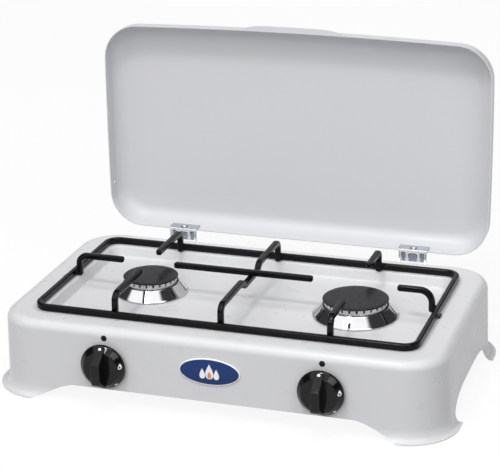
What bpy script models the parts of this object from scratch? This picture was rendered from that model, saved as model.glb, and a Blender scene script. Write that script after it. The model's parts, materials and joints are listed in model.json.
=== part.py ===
"""Two-burner camping stove with a hinged lid, a lift-off pan support and push-and-turn taps.

Hob coordinates: X across the stove, Y from front to back, Z up, with the origin on the table
under the middle of the hob. The whole stove hangs under one empty, which moves the hob forward
so that the world origin lies under the middle of the stove's overall box with the lid open.
Everything is in metres.
"""
from math import asin, cos, pi, sin, sqrt

import bmesh
import bpy
from mathutils import Matrix, Vector

# ---- driving dimensions ------------------------------------------------------------------
GAP = 0.0003  # clearance between pieces that touch
SHEET = 0.0010  # enamelled steel of the hob body
LID_SHEET = 0.0009

FOOT_W, FOOT_D, FOOT_R = 0.500, 0.295, 0.055  # outline over the four flared feet
WALL_W, WALL_D, WALL_R = 0.482, 0.278, 0.047  # wall just above the feet
TOP_W, TOP_D, TOP_R = 0.4772, 0.2772, 0.044  # wall just below the top edge
HOB_Z = 0.085  # height of the flat rim
EDGE_R = 0.010  # rounding of the top edge
LEDGE_Z = 0.0835  # shelf that the pan support stands on
FLOOR_Z = 0.0715  # sunk floor round the burners
ARCH_Z, ARCH_FLAT, ARCH_END = 0.0175, 0.148, 0.203  # cut-out under the front and back
SIDE_ARCH_Z, SIDE_ARCH_HALF = 0.0245, 0.080  # cut-out under the sides

RAIL_W, RAIL_D, RAIL_R = 0.4098, 0.2113, 0.014  # centre line of the pan support's frame
RAIL_T, RAIL_H = 0.0058, 0.0074  # section of the frame
BAR = 0.0064  # square section of the fingers
FINGER_Z = 0.1072  # height of the fingers' centre line

BURNER_X = 0.1165
TAP_SHIFT = 0.0022  # both taps and knobs sit a little to the right of their burners
KNOB_R = 0.0245
KNOB_Z = 0.0450
WALL_Y = 0.1389  # outside of the front and back walls at tap height
CAP_Z = 0.0912  # top of the burner caps

LID_W, LID_D, LID_R = 0.450, 0.240, 0.038
LID_DEPTH, LID_ROUND = 0.0285, 0.017
LID_BOW, LID_SIDE_BOW = 0.0046, 0.0012  # bulge of the front edge and of the sides
LID_RIM_Y, LID_RIM_Z = 0.1610, 0.0872  # lower edge of the open lid's rim
HINGE_Y, HINGE_Z = 0.1422, 0.0680  # axis of the lid's hinges
HINGE_X, HINGE_SHIFT = 0.138, 0.0025
PIN_R = 0.00125

FRAME_Y = -0.01175  # the hob's place in the world, which centres the overall box

PIPE_R, PIPE_Y, PIPE_Z = 0.005, -0.114, 0.0285  # gas rail
INLET_X = -0.184

# ---- scene, collections and materials ------------------------------------------------------
for old in list(bpy.data.objects):
    bpy.data.objects.remove(old, do_unlink=True)

stove = bpy.data.collections.new("camping_stove")
cutters = bpy.data.collections.new("cutters")
for collection in (stove, cutters):
    bpy.context.scene.collection.children.link(collection)

FINISHES = {
    # name: (colour, metallic, roughness)
    "white_enamel": ((0.80, 0.81, 0.80), 0.0, 0.22),
    "black_enamel": ((0.012, 0.012, 0.013), 0.0, 0.18),
    "cap_enamel": ((0.020, 0.020, 0.022), 0.0, 0.45),
    "chrome": ((0.78, 0.78, 0.80), 1.0, 0.06),
    "cast_aluminium": ((0.62, 0.62, 0.63), 1.0, 0.42),
    "zinc": ((0.55, 0.60, 0.68), 1.0, 0.32),
    "brass": ((0.72, 0.53, 0.23), 1.0, 0.30),
    "steel": ((0.48, 0.48, 0.50), 1.0, 0.35),
    "knob_plastic": ((0.010, 0.010, 0.011), 0.0, 0.24),
    "badge": ((0.03, 0.09, 0.42), 0.0, 0.28),
}


def finish(name):
    """A Principled material, made the first time it is asked for."""
    found = bpy.data.materials.get(name)
    if found:
        return found
    colour, metallic, roughness = FINISHES[name]
    material = bpy.data.materials.new(name)
    material.use_nodes = True
    shader = material.node_tree.nodes["Principled BSDF"]
    shader.inputs["Base Color"].default_value = (*colour, 1.0)
    shader.inputs["Metallic"].default_value = metallic
    shader.inputs["Roughness"].default_value = roughness
    return material


# ---- parents: the stove's frame and one empty on each joint's axis -------------------------
def empty(name, location, parent=None):
    obj = bpy.data.objects.new(name, None)
    obj.empty_display_size = 0.02
    stove.objects.link(obj)
    if parent is not None:
        obj.parent = parent
    obj.location = location
    return obj


stove_frame = empty("stove_frame", (0, FRAME_Y, 0))
lid_axis = empty("lid_axis", (0, HINGE_Y, HINGE_Z), stove_frame)
pan_support_lift = empty("pan_support_lift", (0, 0, LEDGE_Z), stove_frame)


def keep(obj, material, parent=stove_frame, smooth=35):
    """Give a finished sub-part its material, its parent and its shading."""
    obj.data.materials.clear()
    obj.data.materials.append(finish(material))
    if parent is not stove_frame:
        obj.location = Vector(obj.location) - Vector(parent.location)
    obj.parent = parent
    if obj.type == "MESH":
        obj.data.shade_smooth()
        obj.data.set_sharp_from_angle(angle=smooth * pi / 180)
    return obj


def guide(obj):
    """Turn an object into a cutter: in the cutters' collection, wire only, never rendered."""
    for holder in list(obj.users_collection):
        holder.objects.unlink(obj)
    cutters.objects.link(obj)
    obj.parent = stove_frame
    obj.hide_render = True
    obj.display_type = "WIRE"
    return obj


def boolean(obj, other, operation):
    guide(other)
    modifier = obj.modifiers.new(other.name, "BOOLEAN")
    modifier.object = other
    modifier.operation = operation
    modifier.solver = "EXACT"
    return obj


def cut(obj, *others):
    for other in others:
        boolean(obj, other, "DIFFERENCE")
    return obj


def weld(obj, *others):
    for other in others:
        boolean(obj, other, "UNION")
    return obj


# ---- shape makers --------------------------------------------------------------------------
def mesh_object(name, bm):
    mesh = bpy.data.meshes.new(name)
    bm.to_mesh(mesh)
    bm.free()
    obj = bpy.data.objects.new(name, mesh)
    stove.objects.link(obj)
    return obj


def block(name, low, high, bevel=0.0):
    """A box between two corners, with its edges rounded by a Bevel modifier."""
    low, high = Vector(low), Vector(high)
    bm = bmesh.new()
    bmesh.ops.create_cube(bm, size=1.0)
    bmesh.ops.scale(bm, vec=high - low, verts=bm.verts)
    bmesh.ops.translate(bm, vec=(low + high) / 2, verts=bm.verts)
    obj = mesh_object(name, bm)
    if bevel:
        rounding = obj.modifiers.new("rounding", "BEVEL")
        rounding.width = bevel
        rounding.segments = 2
        rounding.limit_method = "ANGLE"
    return obj


def cylinder(name, start, end, radius, sides=24, end_radius=None):
    start, end = Vector(start), Vector(end)
    along = end - start
    turn = Vector((0, 0, 1)).rotation_difference(along).to_matrix().to_4x4()
    bm = bmesh.new()
    bmesh.ops.create_cone(
        bm,
        cap_ends=True,
        segments=sides,
        radius1=radius,
        radius2=radius if end_radius is None else end_radius,
        depth=along.length,
        matrix=Matrix.Translation((start + end) / 2) @ turn,
    )
    return mesh_object(name, bm)


def turned(name, profile, origin, steps=32, outward=False, ring=False):
    """A profile of (radius, height) turned round Z, or round -Y where it faces outward.

    The profile runs down its outer side. A ring's profile closes on itself; any other one
    starts and ends on the axis.
    """
    mesh = bpy.data.meshes.new(name)
    count = len(profile)
    edges = [(i, i + 1) for i in range(count - 1)]
    if ring:
        edges.append((count - 1, 0))
    mesh.from_pydata([(r, 0, h) for r, h in profile], edges, [])
    obj = bpy.data.objects.new(name, mesh)
    stove.objects.link(obj)
    obj.location = origin
    if outward:
        obj.rotation_euler = (pi / 2, 0, 0)
    screw = obj.modifiers.new("turn", "SCREW")
    screw.axis = "Z"
    screw.angle = 2 * pi
    screw.steps = screw.render_steps = steps
    screw.use_merge_vertices = True
    screw.merge_threshold = 0.00001
    screw.use_smooth_shade = True
    return obj


def curve_object(name, splines, dimensions="3D"):
    """A curve with POLY splines; each spline is (points, cyclic)."""
    curve = bpy.data.curves.new(name, "CURVE")
    curve.dimensions = dimensions
    for points, cyclic in splines:
        spline = curve.splines.new("POLY")
        spline.points.add(len(points) - 1)
        for point, place in zip(spline.points, points):
            point.co = (*place, 0.0, 1.0)[:4] if len(place) == 2 else (*place, 1.0)
        spline.use_cyclic_u = cyclic
    obj = bpy.data.objects.new(name, curve)
    stove.objects.link(obj)
    return obj


def solid(obj):
    """Make a curve object a mesh object, with its loose caps joined to its sides."""
    bpy.context.view_layer.update()
    name = obj.name
    mesh = bpy.data.meshes.new_from_object(obj.evaluated_get(bpy.context.evaluated_depsgraph_get()))
    bm = bmesh.new()
    bm.from_mesh(mesh)
    bmesh.ops.remove_doubles(bm, verts=bm.verts, dist=0.000001)
    bmesh.ops.recalc_face_normals(bm, faces=bm.faces)
    bm.to_mesh(mesh)
    bm.free()
    place = obj.matrix_world.copy()
    bpy.data.objects.remove(obj, do_unlink=True)
    made = bpy.data.objects.new(name, mesh)
    made.matrix_world = place
    stove.objects.link(made)
    return made


FACING = {
    "Z": (0, 0, 0),  # outline in X, Y
    "Y": (pi / 2, 0, 0),  # outline in X, Z
    "X": (pi / 2, 0, pi / 2),  # outline in Y, Z
}


def plate(name, outline, thickness, middle, facing="Z", holes=()):
    """A flat outline with holes, extruded by half its thickness to each side of middle."""
    splines = [(outline, True)] + [(hole, True) for hole in holes]
    obj = curve_object(name, splines, "2D")
    obj.data.fill_mode = "BOTH"
    obj.data.extrude = thickness / 2
    obj.location = middle
    obj.rotation_euler = FACING[facing]
    return solid(obj)


def arc(centre, radius, first, last, steps):
    """Points on an arc, angles in degrees."""
    points = []
    for i in range(steps + 1):
        angle = (first + (last - first) * i / steps) * pi / 180
        points.append((centre[0] + radius * cos(angle), centre[1] + radius * sin(angle)))
    return points


def circle(centre, radius, sides=16):
    return arc(centre, radius, 0, 360 * (sides - 1) / sides, sides - 1)


def rounded_rectangle(half_x, half_y, radius, steps=6):
    """Corner arcs of a rounded rectangle, anticlockwise from the +X side."""
    points = []
    corners = ((1, 1, 0), (-1, 1, 90), (-1, -1, 180), (1, -1, 270))
    for sx, sy, start in corners:
        centre = (sx * (half_x - radius), sy * (half_y - radius))
        points += arc(centre, radius, start, start + 90, steps)
    return points


def lofted(name, rings):
    """A skin through a stack of rings with equal point counts, closed by a face on the last."""
    bm = bmesh.new()
    rows = [[bm.verts.new(point) for point in ring] for ring in rings]
    for low, high in zip(rows, rows[1:]):
        count = len(low)
        for i in range(count):
            j = (i + 1) % count
            bm.faces.new((low[i], low[j], high[j], high[i]))
    bm.faces.new(rows[-1])
    return mesh_object(name, bm)


def thicken(obj, thickness):
    shell = obj.modifiers.new("sheet", "SOLIDIFY")
    shell.thickness = thickness
    shell.offset = -1
    shell.use_even_offset = True
    return obj


def section(name, width, height, rounding):
    """A rounded rectangle that bars are swept with."""
    outline = rounded_rectangle(width / 2, height / 2, rounding, 1)
    return guide(curve_object(name, [(outline, True)], "2D"))


def swept(name, points, profile, cyclic=False):
    obj = curve_object(name, [(points, cyclic)])
    obj.data.bevel_mode = "OBJECT"
    obj.data.bevel_object = profile
    obj.data.use_fill_caps = not cyclic
    obj.data.twist_mode = "Z_UP" if cyclic else "MINIMUM"
    return solid(obj)


def sides():
    """Name and sign of the left and the right half of the stove."""
    return (("left", -1), ("right", 1))


# ---- hob body ------------------------------------------------------------------------------
def body_shell():
    """One pressing: flared feet, wall, rounded edge, rim, shelf and sunk floor."""
    wall_w, wall_d = WALL_W / 2, WALL_D / 2
    top_w, top_d = TOP_W / 2, TOP_D / 2
    flange_z = SHEET
    steps = [
        # half width, half depth, corner radius, height
        (FOOT_W / 2, FOOT_D / 2, FOOT_R, flange_z),
        (FOOT_W / 2 - 0.0026, FOOT_D / 2 - 0.0026, FOOT_R - 0.0024, flange_z),
        (wall_w + 0.0040, wall_d + 0.0038, WALL_R + 0.0030, flange_z + 0.0016),
        (wall_w + 0.0014, wall_d + 0.0013, WALL_R + 0.0010, flange_z + 0.0050),
        (wall_w, wall_d, WALL_R, flange_z + 0.0120),
    ]
    for angle in (0, 30, 60, 90):
        inset = EDGE_R * (1 - cos(angle * pi / 180))
        height = HOB_Z - EDGE_R + EDGE_R * sin(angle * pi / 180)
        steps.append((top_w - inset, top_d - inset, TOP_R - inset, height))
    steps += [
        (RAIL_W / 2 + 0.0073, RAIL_D / 2 + 0.0073, 0.0210, HOB_Z),
        (RAIL_W / 2 + 0.0038, RAIL_D / 2 + 0.0038, 0.0175, LEDGE_Z),
        (RAIL_W / 2 - 0.0066, RAIL_D / 2 - 0.0066, 0.0120, LEDGE_Z),
        (RAIL_W / 2 - 0.0082, RAIL_D / 2 - 0.0082, 0.0112, LEDGE_Z - 0.0016),
        (RAIL_W / 2 - 0.0104, RAIL_D / 2 - 0.0104, 0.0100, FLOOR_Z + 0.0014),
        (RAIL_W / 2 - 0.0122, RAIL_D / 2 - 0.0122, 0.0090, FLOOR_Z),
    ]
    rings = [[(x, y, z) for x, y in rounded_rectangle(w, d, r, 5)] for w, d, r, z in steps]
    shell = thicken(lofted("body_shell", rings), SHEET)

    below, far = -0.02, 0.20
    half = [(ARCH_END, below), (ARCH_END, -0.001)]
    for i in range(1, 9):
        part = i / 8
        x = ARCH_END + (ARCH_FLAT - ARCH_END) * part
        half.append((x, ARCH_Z * 0.5 * (1 - cos(pi * part))))
    front_arch = half + [(-x, z) for x, z in reversed(half)]
    side_arch = [(SIDE_ARCH_HALF, below)]
    for i in range(13):
        y = SIDE_ARCH_HALF * cos(pi * i / 12)
        share = abs(y) / SIDE_ARCH_HALF
        side_arch.append((y, SIDE_ARCH_Z * sqrt(max(0.0, 1 - share**4)) - 0.0005))
    side_arch.append((-SIDE_ARCH_HALF, below))
    cut(
        shell,
        plate("front_arch", front_arch, 2 * far, (0, 0, 0), "Y"),
        plate("side_arch", side_arch, 0.6, (0, 0, 0), "X"),
    )
    for side, sign in sides():
        size = burner_size(side)
        radius = size["neck"] + 0.0004
        low, high = (sign * BURNER_X, size["y"], 0.06), (sign * BURNER_X, size["y"], 0.08)
        cut(shell, cylinder(f"{side}_floor_hole", low, high, radius, 24))
        low, high = (tap_x(sign), -0.15, KNOB_Z), (tap_x(sign), -0.13, KNOB_Z)
        cut(shell, cylinder(f"{side}_spindle_hole", low, high, 0.0062, 16))
        for x_screw in screw_places(sign):
            low, high = (x_screw, 0.13, SCREW_Z), (x_screw, 0.15, SCREW_Z)
            cut(shell, cylinder(f"{side}_bracket_hole_{x_screw:.3f}", low, high, 0.0019, 8))
    low, high = (INLET_X, 0.13, PIPE_Z), (INLET_X, 0.15, PIPE_Z)
    cut(shell, cylinder("inlet_hole", low, high, 0.0066, 16))
    keep(shell, "white_enamel", smooth=40)


def badge():
    """A plain oval badge."""
    half_w, half_h, thickness = 0.0328, 0.0147, 0.0012
    oval = [(half_w * cos(t * pi / 20), half_h * sin(t * pi / 20)) for t in range(40)]
    obj = plate("badge", oval, thickness, (0.0007, -WALL_Y - GAP - thickness / 2, 0.0516), "Y")
    keep(obj, "badge")


# ---- burners -------------------------------------------------------------------------------
def burner_size(side):
    """Radii, slots and place along Y of one burner; the right one is the larger."""
    if side == "left":
        sizes = {"cap": 0.0301, "ring": 0.0403, "crown": 0.0285, "neck": 0.0262, "cup": 0.0235}
        return sizes | {"slots": 24, "y": 0.0045}
    sizes = {"cap": 0.0353, "ring": 0.0461, "crown": 0.0335, "neck": 0.0312, "cup": 0.0265}
    return sizes | {"slots": 27, "y": 0.0}


def tap_x(sign):
    """X of the left or the right tap's axis."""
    return sign * BURNER_X + TAP_SHIFT


CROWN_LOW, CROWN_HIGH = 0.0826, 0.0892
SLOT_WIDTH, SLOT_DEPTH = 0.0014, 0.0037


def burner(side, sign):
    size = burner_size(side)
    x, y = sign * BURNER_X, size["y"]
    cap, ring, crown, neck, cup = (size[k] for k in ("cap", "ring", "crown", "neck", "cup"))
    wall = 0.0024

    # Cast body: a cup under the hob with a mixing tube that runs forward to the injector.
    seat, base = FLOOR_Z + GAP, 0.0335
    body = turned(
        f"{side}_burner_body",
        [
            (0, base + wall),
            (cup - wall, base + wall + 0.0006),
            (cup - wall, 0.0570),
            (neck - wall, 0.0610),
            (neck - wall, CROWN_LOW - GAP),
            (neck, CROWN_LOW - GAP),
            (neck, seat + 0.0020),
            (neck + 0.0030, seat + 0.0020),
            (neck + 0.0030, seat),
            (neck - GAP, seat),
            (neck - GAP, 0.0600),
            (cup, 0.0560),
            (cup, base + 0.0010),
            (cup - 0.0040, base),
            (0, base),
        ],
        (x, y, 0),
        steps=24,
    )
    tube_x, tube_end = tap_x(sign), -0.0880
    tube_ends = (tube_x, tube_end, KNOB_Z), (tube_x, y - cup + 0.004, KNOB_Z)
    bore_ends = (tube_x, tube_end - 0.010, KNOB_Z), (tube_x, y - cup + 0.008, KNOB_Z)
    weld(body, cylinder(f"{side}_mixing_tube", *tube_ends, 0.0082, 16))
    cut(body, cylinder(f"{side}_mixing_bore", *bore_ends, 0.0062, 16))
    keep(body, "cast_aluminium")

    low, high = 0.0650, FLOOR_Z - SHEET - GAP
    nut = plate(
        f"{side}_burner_nut",
        circle((0, 0), neck + 0.0052, 12),
        high - low,
        (x, y, (low + high) / 2),
        "Z",
        [circle((0, 0), neck + GAP, 24)],
    )
    keep(nut, "zinc", smooth=20)

    # Polished ring that hides the joint between the burner and the hob.
    thick = 0.0009
    top, top_z = crown + 0.0022, 0.0836
    dish = turned(
        f"{side}_burner_ring",
        [
            (top, top_z),
            (ring - 0.0014, seat + 0.0024),
            (ring - 0.0003, seat + 0.0018),
            (ring, seat + 0.0010),
            (ring, seat),
            (ring - thick, seat),
            (ring - 0.0024, seat + 0.0016),
            (top - thick, top_z - thick * 0.4),
        ],
        (x, y, 0),
        steps=32,
        ring=True,
    )
    keep(dish, "chrome", smooth=50)

    # Slotted crown that the flames leave through.
    inner = neck - wall
    head = turned(
        f"{side}_burner_crown",
        [
            (crown, CROWN_HIGH),
            (crown, CROWN_LOW),
            (inner - GAP, CROWN_LOW),
            (inner - GAP, CROWN_LOW - 0.0050),
            (inner - 0.0024, CROWN_LOW - 0.0050),
            (inner - 0.0024, CROWN_HIGH),
        ],
        (x, y, 0),
        steps=36,
        ring=True,
    )
    slots = bmesh.new()
    reach = crown - inner + 0.006
    place = Matrix.Translation((crown - reach / 2 + 0.002, 0, CROWN_HIGH))
    stretch = Matrix.Diagonal((reach, SLOT_WIDTH, 2 * SLOT_DEPTH, 1))
    for i in range(size["slots"]):
        turn = Matrix.Rotation(2 * pi * (i + 0.5) / size["slots"], 4, "Z")
        bmesh.ops.create_cube(slots, size=1.0, matrix=turn @ place @ stretch)
    cutter = mesh_object(f"{side}_crown_slots", slots)
    cutter.location = (x, y, 0)
    cut(head, cutter)
    keep(head, "cast_aluminium", smooth=30)

    # Loose enamelled cap, hollow underneath.
    low = CROWN_HIGH + GAP
    lift = empty(f"{side}_cap_lift", (x, y, low), stove_frame)
    lid = turned(
        f"{side}_burner_cap",
        [
            (0, CAP_Z),
            (cap - 0.0060, CAP_Z - 0.0001),
            (cap - 0.0010, CAP_Z - 0.0004),
            (cap, CAP_Z - 0.0010),
            (cap, low + 0.0003),
            (cap - 0.0004, low),
            (inner - 0.0030, low),
            (inner - 0.0038, low + 0.0006),
            (0, low + 0.0006),
        ],
        (x, y, 0),
        steps=32,
    )
    keep(lid, "cap_enamel", lift, smooth=50)

    injector = turned(
        f"{side}_injector",
        [
            (0, 0.0985),
            (0.0030, 0.0985),
            (0.0030, 0.0955),
            (0.0040, 0.0950),
            (0.0040, 0.0900),
            (0.0018, 0.0895),
            (0.0018, 0.0865),
            (0, 0.0865),
        ],
        (tap_x(sign), 0, KNOB_Z),
        steps=10,
        outward=True,
    )
    keep(injector, "brass")


# ---- taps, knobs and gas rail ----------------------------------------------------------------
SPINDLE_R = 0.0030
COLLAR_OUT, COLLAR_IN = 0.1396, 0.1384  # distance in front of the middle of the hob
SPRING_OUT, SPRING_IN = 0.1381, 0.1293
BONNET = 0.1290


def tap(side, sign):
    x = tap_x(sign)
    bore = SPINDLE_R + 0.0002
    body = turned(
        f"{side}_tap_body",
        [
            (0, 0.1085),
            (bore, 0.1085),
            (bore, BONNET),
            (0.0062, BONNET),
            (0.0070, BONNET - 0.0008),
            (0.0070, 0.1240),
            (0.0090, 0.1240),
            (0.0090, 0.1060),
            (0.0062, 0.1045),
            (0.0062, 0.0990),
            (0.0033, 0.0990),
            (0.0033, 0.1060),
            (0, 0.1060),
        ],
        (x, 0, KNOB_Z),
        steps=16,
        outward=True,
    )
    low = (x - 0.0080, -0.1220, PIPE_Z + GAP)
    high = (x + 0.0080, -0.0996, KNOB_Z - 0.0060)
    weld(body, block(f"{side}_tap_saddle", low, high))
    groove = (x - 0.020, PIPE_Y, PIPE_Z), (x + 0.020, PIPE_Y, PIPE_Z)
    screw_y = -0.1038
    cut(
        body,
        cylinder(f"{side}_saddle_groove", *groove, PIPE_R + GAP, 20),
        cylinder(f"{side}_saddle_thread", (x, screw_y, 0.02), (x, screw_y, 0.0350), 0.0018, 12),
    )
    keep(body, "brass")

    clamp = block(
        f"{side}_tap_clamp",
        (x - 0.0078, -0.1220, PIPE_Z - 0.0072),
        (x + 0.0078, -0.0998, PIPE_Z - GAP),
    )
    cut(
        clamp,
        cylinder(f"{side}_clamp_groove", *groove, PIPE_R + GAP, 20),
        cylinder(f"{side}_clamp_hole", (x, screw_y, 0.01), (x, screw_y, 0.04), 0.0018, 12),
    )
    keep(clamp, "zinc")
    under = PIPE_Z - 0.0072 - GAP
    screw = turned(
        f"{side}_clamp_screw",
        [
            (0, 0.0345),
            (0.0015, 0.0345),
            (0.0015, under),
            (0.0032, under),
            (0.0030, under - 0.0016),
            (0.0018, under - 0.0022),
            (0, under - 0.0022),
        ],
        (x, screw_y, 0),
        steps=12,
    )
    keep(screw, "zinc")


def push_and_turn(side, sign):
    """Spindle, knob, collar and return spring of one tap."""
    x = tap_x(sign)
    push = empty(f"{side}_push", (x, -COLLAR_IN, KNOB_Z), stove_frame)
    turn = empty(f"{side}_turn", (x, -0.1425, KNOB_Z), stove_frame)

    collar = turned(
        f"{side}_push_collar",
        [
            (0.0052, COLLAR_OUT),
            (0.0052, COLLAR_IN),
            (SPINDLE_R + GAP, COLLAR_IN),
            (SPINDLE_R + GAP, COLLAR_OUT),
        ],
        (x, 0, KNOB_Z),
        steps=16,
        outward=True,
        ring=True,
    )
    keep(collar, "zinc", push)

    turns, wire, radius, per_turn = 4.0, 0.0004, 0.0043, 8
    count = int(turns * per_turn)
    length = SPRING_OUT - SPRING_IN - 2 * wire
    helix = []
    for i in range(count + 1):
        angle = 2 * pi * i / per_turn
        y = -SPRING_IN - wire - length * i / count
        helix.append((x + radius * cos(angle), y, KNOB_Z + radius * sin(angle)))
    spring = curve_object(f"{side}_return_spring", [(helix, False)])
    spring.data.bevel_depth = wire
    spring.data.bevel_resolution = 1
    spring.data.use_fill_caps = True
    keep(solid(spring), "steel")

    spindle = turned(
        f"{side}_spindle",
        [
            (0, 0.1540),
            (SPINDLE_R - 0.0004, 0.1540),
            (SPINDLE_R, 0.1536),
            (SPINDLE_R, 0.1130),
            (0, 0.1130),
        ],
        (x, 0, KNOB_Z),
        steps=16,
        outward=True,
    )
    flat = block(
        f"{side}_spindle_flat",
        (x - 0.010, -0.160, KNOB_Z + 0.0020),
        (x + 0.010, -0.1394, KNOB_Z + 0.010),
    )
    cut(spindle, flat)
    keep(spindle, "steel", turn)

    # Knob: a cone that rises from the rim to a flat face, with a grip across it.
    knob = turned(
        f"{side}_knob",
        [
            (0, 0.1514),
            (0.0182, 0.1514),
            (0.0190, 0.1510),
            (0.0236, 0.1460),
            (KNOB_R - 0.0003, 0.1452),
            (KNOB_R, 0.1443),
            (KNOB_R, 0.1430),
            (KNOB_R - 0.0005, 0.1425),
            (0.0060, 0.1425),
            (0.0056, 0.1400),
            (0, 0.1400),
        ],
        (x, 0, KNOB_Z),
        steps=36,
        outward=True,
    )
    # The grip's front slopes back at its upper end, towards the pointer dot.
    ridge = [
        (-0.1445, 0.0228),
        (-0.1445, -0.0215),
        (-0.1505, -0.0212),
        (-0.1620, -0.0152),
        (-0.1652, -0.0122),
        (-0.1660, -0.0095),
        (-0.1660, 0.0088),
        (-0.1652, 0.0104),
        (-0.1488, 0.0228),
    ]
    grip = plate(f"{side}_grip", ridge, 0.0100, (x, 0, KNOB_Z), "X")
    rounding = grip.modifiers.new("rounding", "BEVEL")
    rounding.width = 0.0010
    rounding.segments = 2
    rounding.limit_method = "ANGLE"
    socket = cylinder(
        f"{side}_knob_socket", (x, -0.1395, KNOB_Z), (x, -0.1546, KNOB_Z), SPINDLE_R + GAP, 20
    )
    flat_side = block(
        f"{side}_socket_flat",
        (x - 0.005, -0.156, KNOB_Z + 0.0020 + GAP),
        (x + 0.005, -0.139, KNOB_Z + 0.006),
    )
    cut(socket, flat_side)
    weld(knob, grip)
    cut(knob, socket)
    keep(knob, "knob_plastic", turn, smooth=32)


def gas_rail():
    """Steel pipe behind the front wall that turns back to the inlet at the rear."""
    bend = 0.016
    start, end = 0.1440, 0.1190
    corner = arc((INLET_X + bend, PIPE_Y + bend), bend, 270, 180, 6)
    route = [(start, PIPE_Y)] + corner + [(INLET_X, end)]
    points = [(x, y, PIPE_Z) for x, y in route]
    pipe = curve_object("gas_rail", [(points, False)])
    pipe.data.bevel_depth = PIPE_R
    pipe.data.bevel_resolution = 3
    pipe.data.use_fill_caps = False
    pipe = solid(pipe)
    thicken(pipe, 0.0010)
    keep(pipe, "steel")

    plug = turned(
        "rail_end_plug",
        [
            (0, 0.0110),
            (0.0058, 0.0110),
            (0.0062, 0.0104),
            (0.0062, 0.0055),
            (0.0062, GAP),
            (0.0036, GAP),
            (0.0036, -0.0080),
            (0, -0.0080),
        ],
        (start, PIPE_Y, PIPE_Z),
        steps=12,
    )
    plug.rotation_euler = (0, pi / 2, 0)
    keep(plug, "brass")

    barbs = [(0.0034, 0.1680)]
    for root in (0.1600, 0.1540, 0.1480):
        barbs += [(0.0046, root + 0.0030), (0.0036, root)]
    inlet = turned(
        "hose_inlet",
        barbs
        + [
            (0.0060, 0.1470),
            (0.0060, 0.1374),
            (0.0090, 0.1370),
            (0.0090, 0.1205),
            (0.0078, 0.1195),
            (0.0022, 0.1195),
            (0.0022, 0.1680),
        ],
        (INLET_X, 0, PIPE_Z),
        steps=16,
        ring=True,
    )
    inlet.rotation_euler = (-pi / 2, 0, 0)
    keep(inlet, "brass")
    nut_in, nut_out = WALL_Y + GAP + 0.0002, WALL_Y + 0.0056
    nut = plate(
        "inlet_nut",
        circle((0, 0), 0.0096, 6),
        nut_out - nut_in,
        (INLET_X, (nut_in + nut_out) / 2, PIPE_Z),
        "Y",
        [circle((0, 0), 0.0060 + GAP, 20)],
    )
    keep(nut, "brass", smooth=20)


def rail_bracket(side, x):
    """Folded strap, spot-welded inside the front wall, that the gas rail passes through."""
    inside = -WALL_Y + SHEET + GAP
    tin = 0.0012
    outline = [(inside, 0.0190), (-0.1060, 0.0190), (-0.1060, 0.0370), (inside, 0.0370)]
    bracket = plate(
        f"{side}_rail_bracket",
        outline,
        tin,
        (x, 0, 0),
        "X",
        [circle((PIPE_Y, PIPE_Z), PIPE_R + GAP, 16)],
    )
    weld(
        bracket,
        block(
            f"{side}_bracket_foot",
            (x - tin / 2, inside, 0.0190),
            (x + 0.0120, inside + tin, 0.0370),
        ),
    )
    keep(bracket, "zinc")


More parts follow.
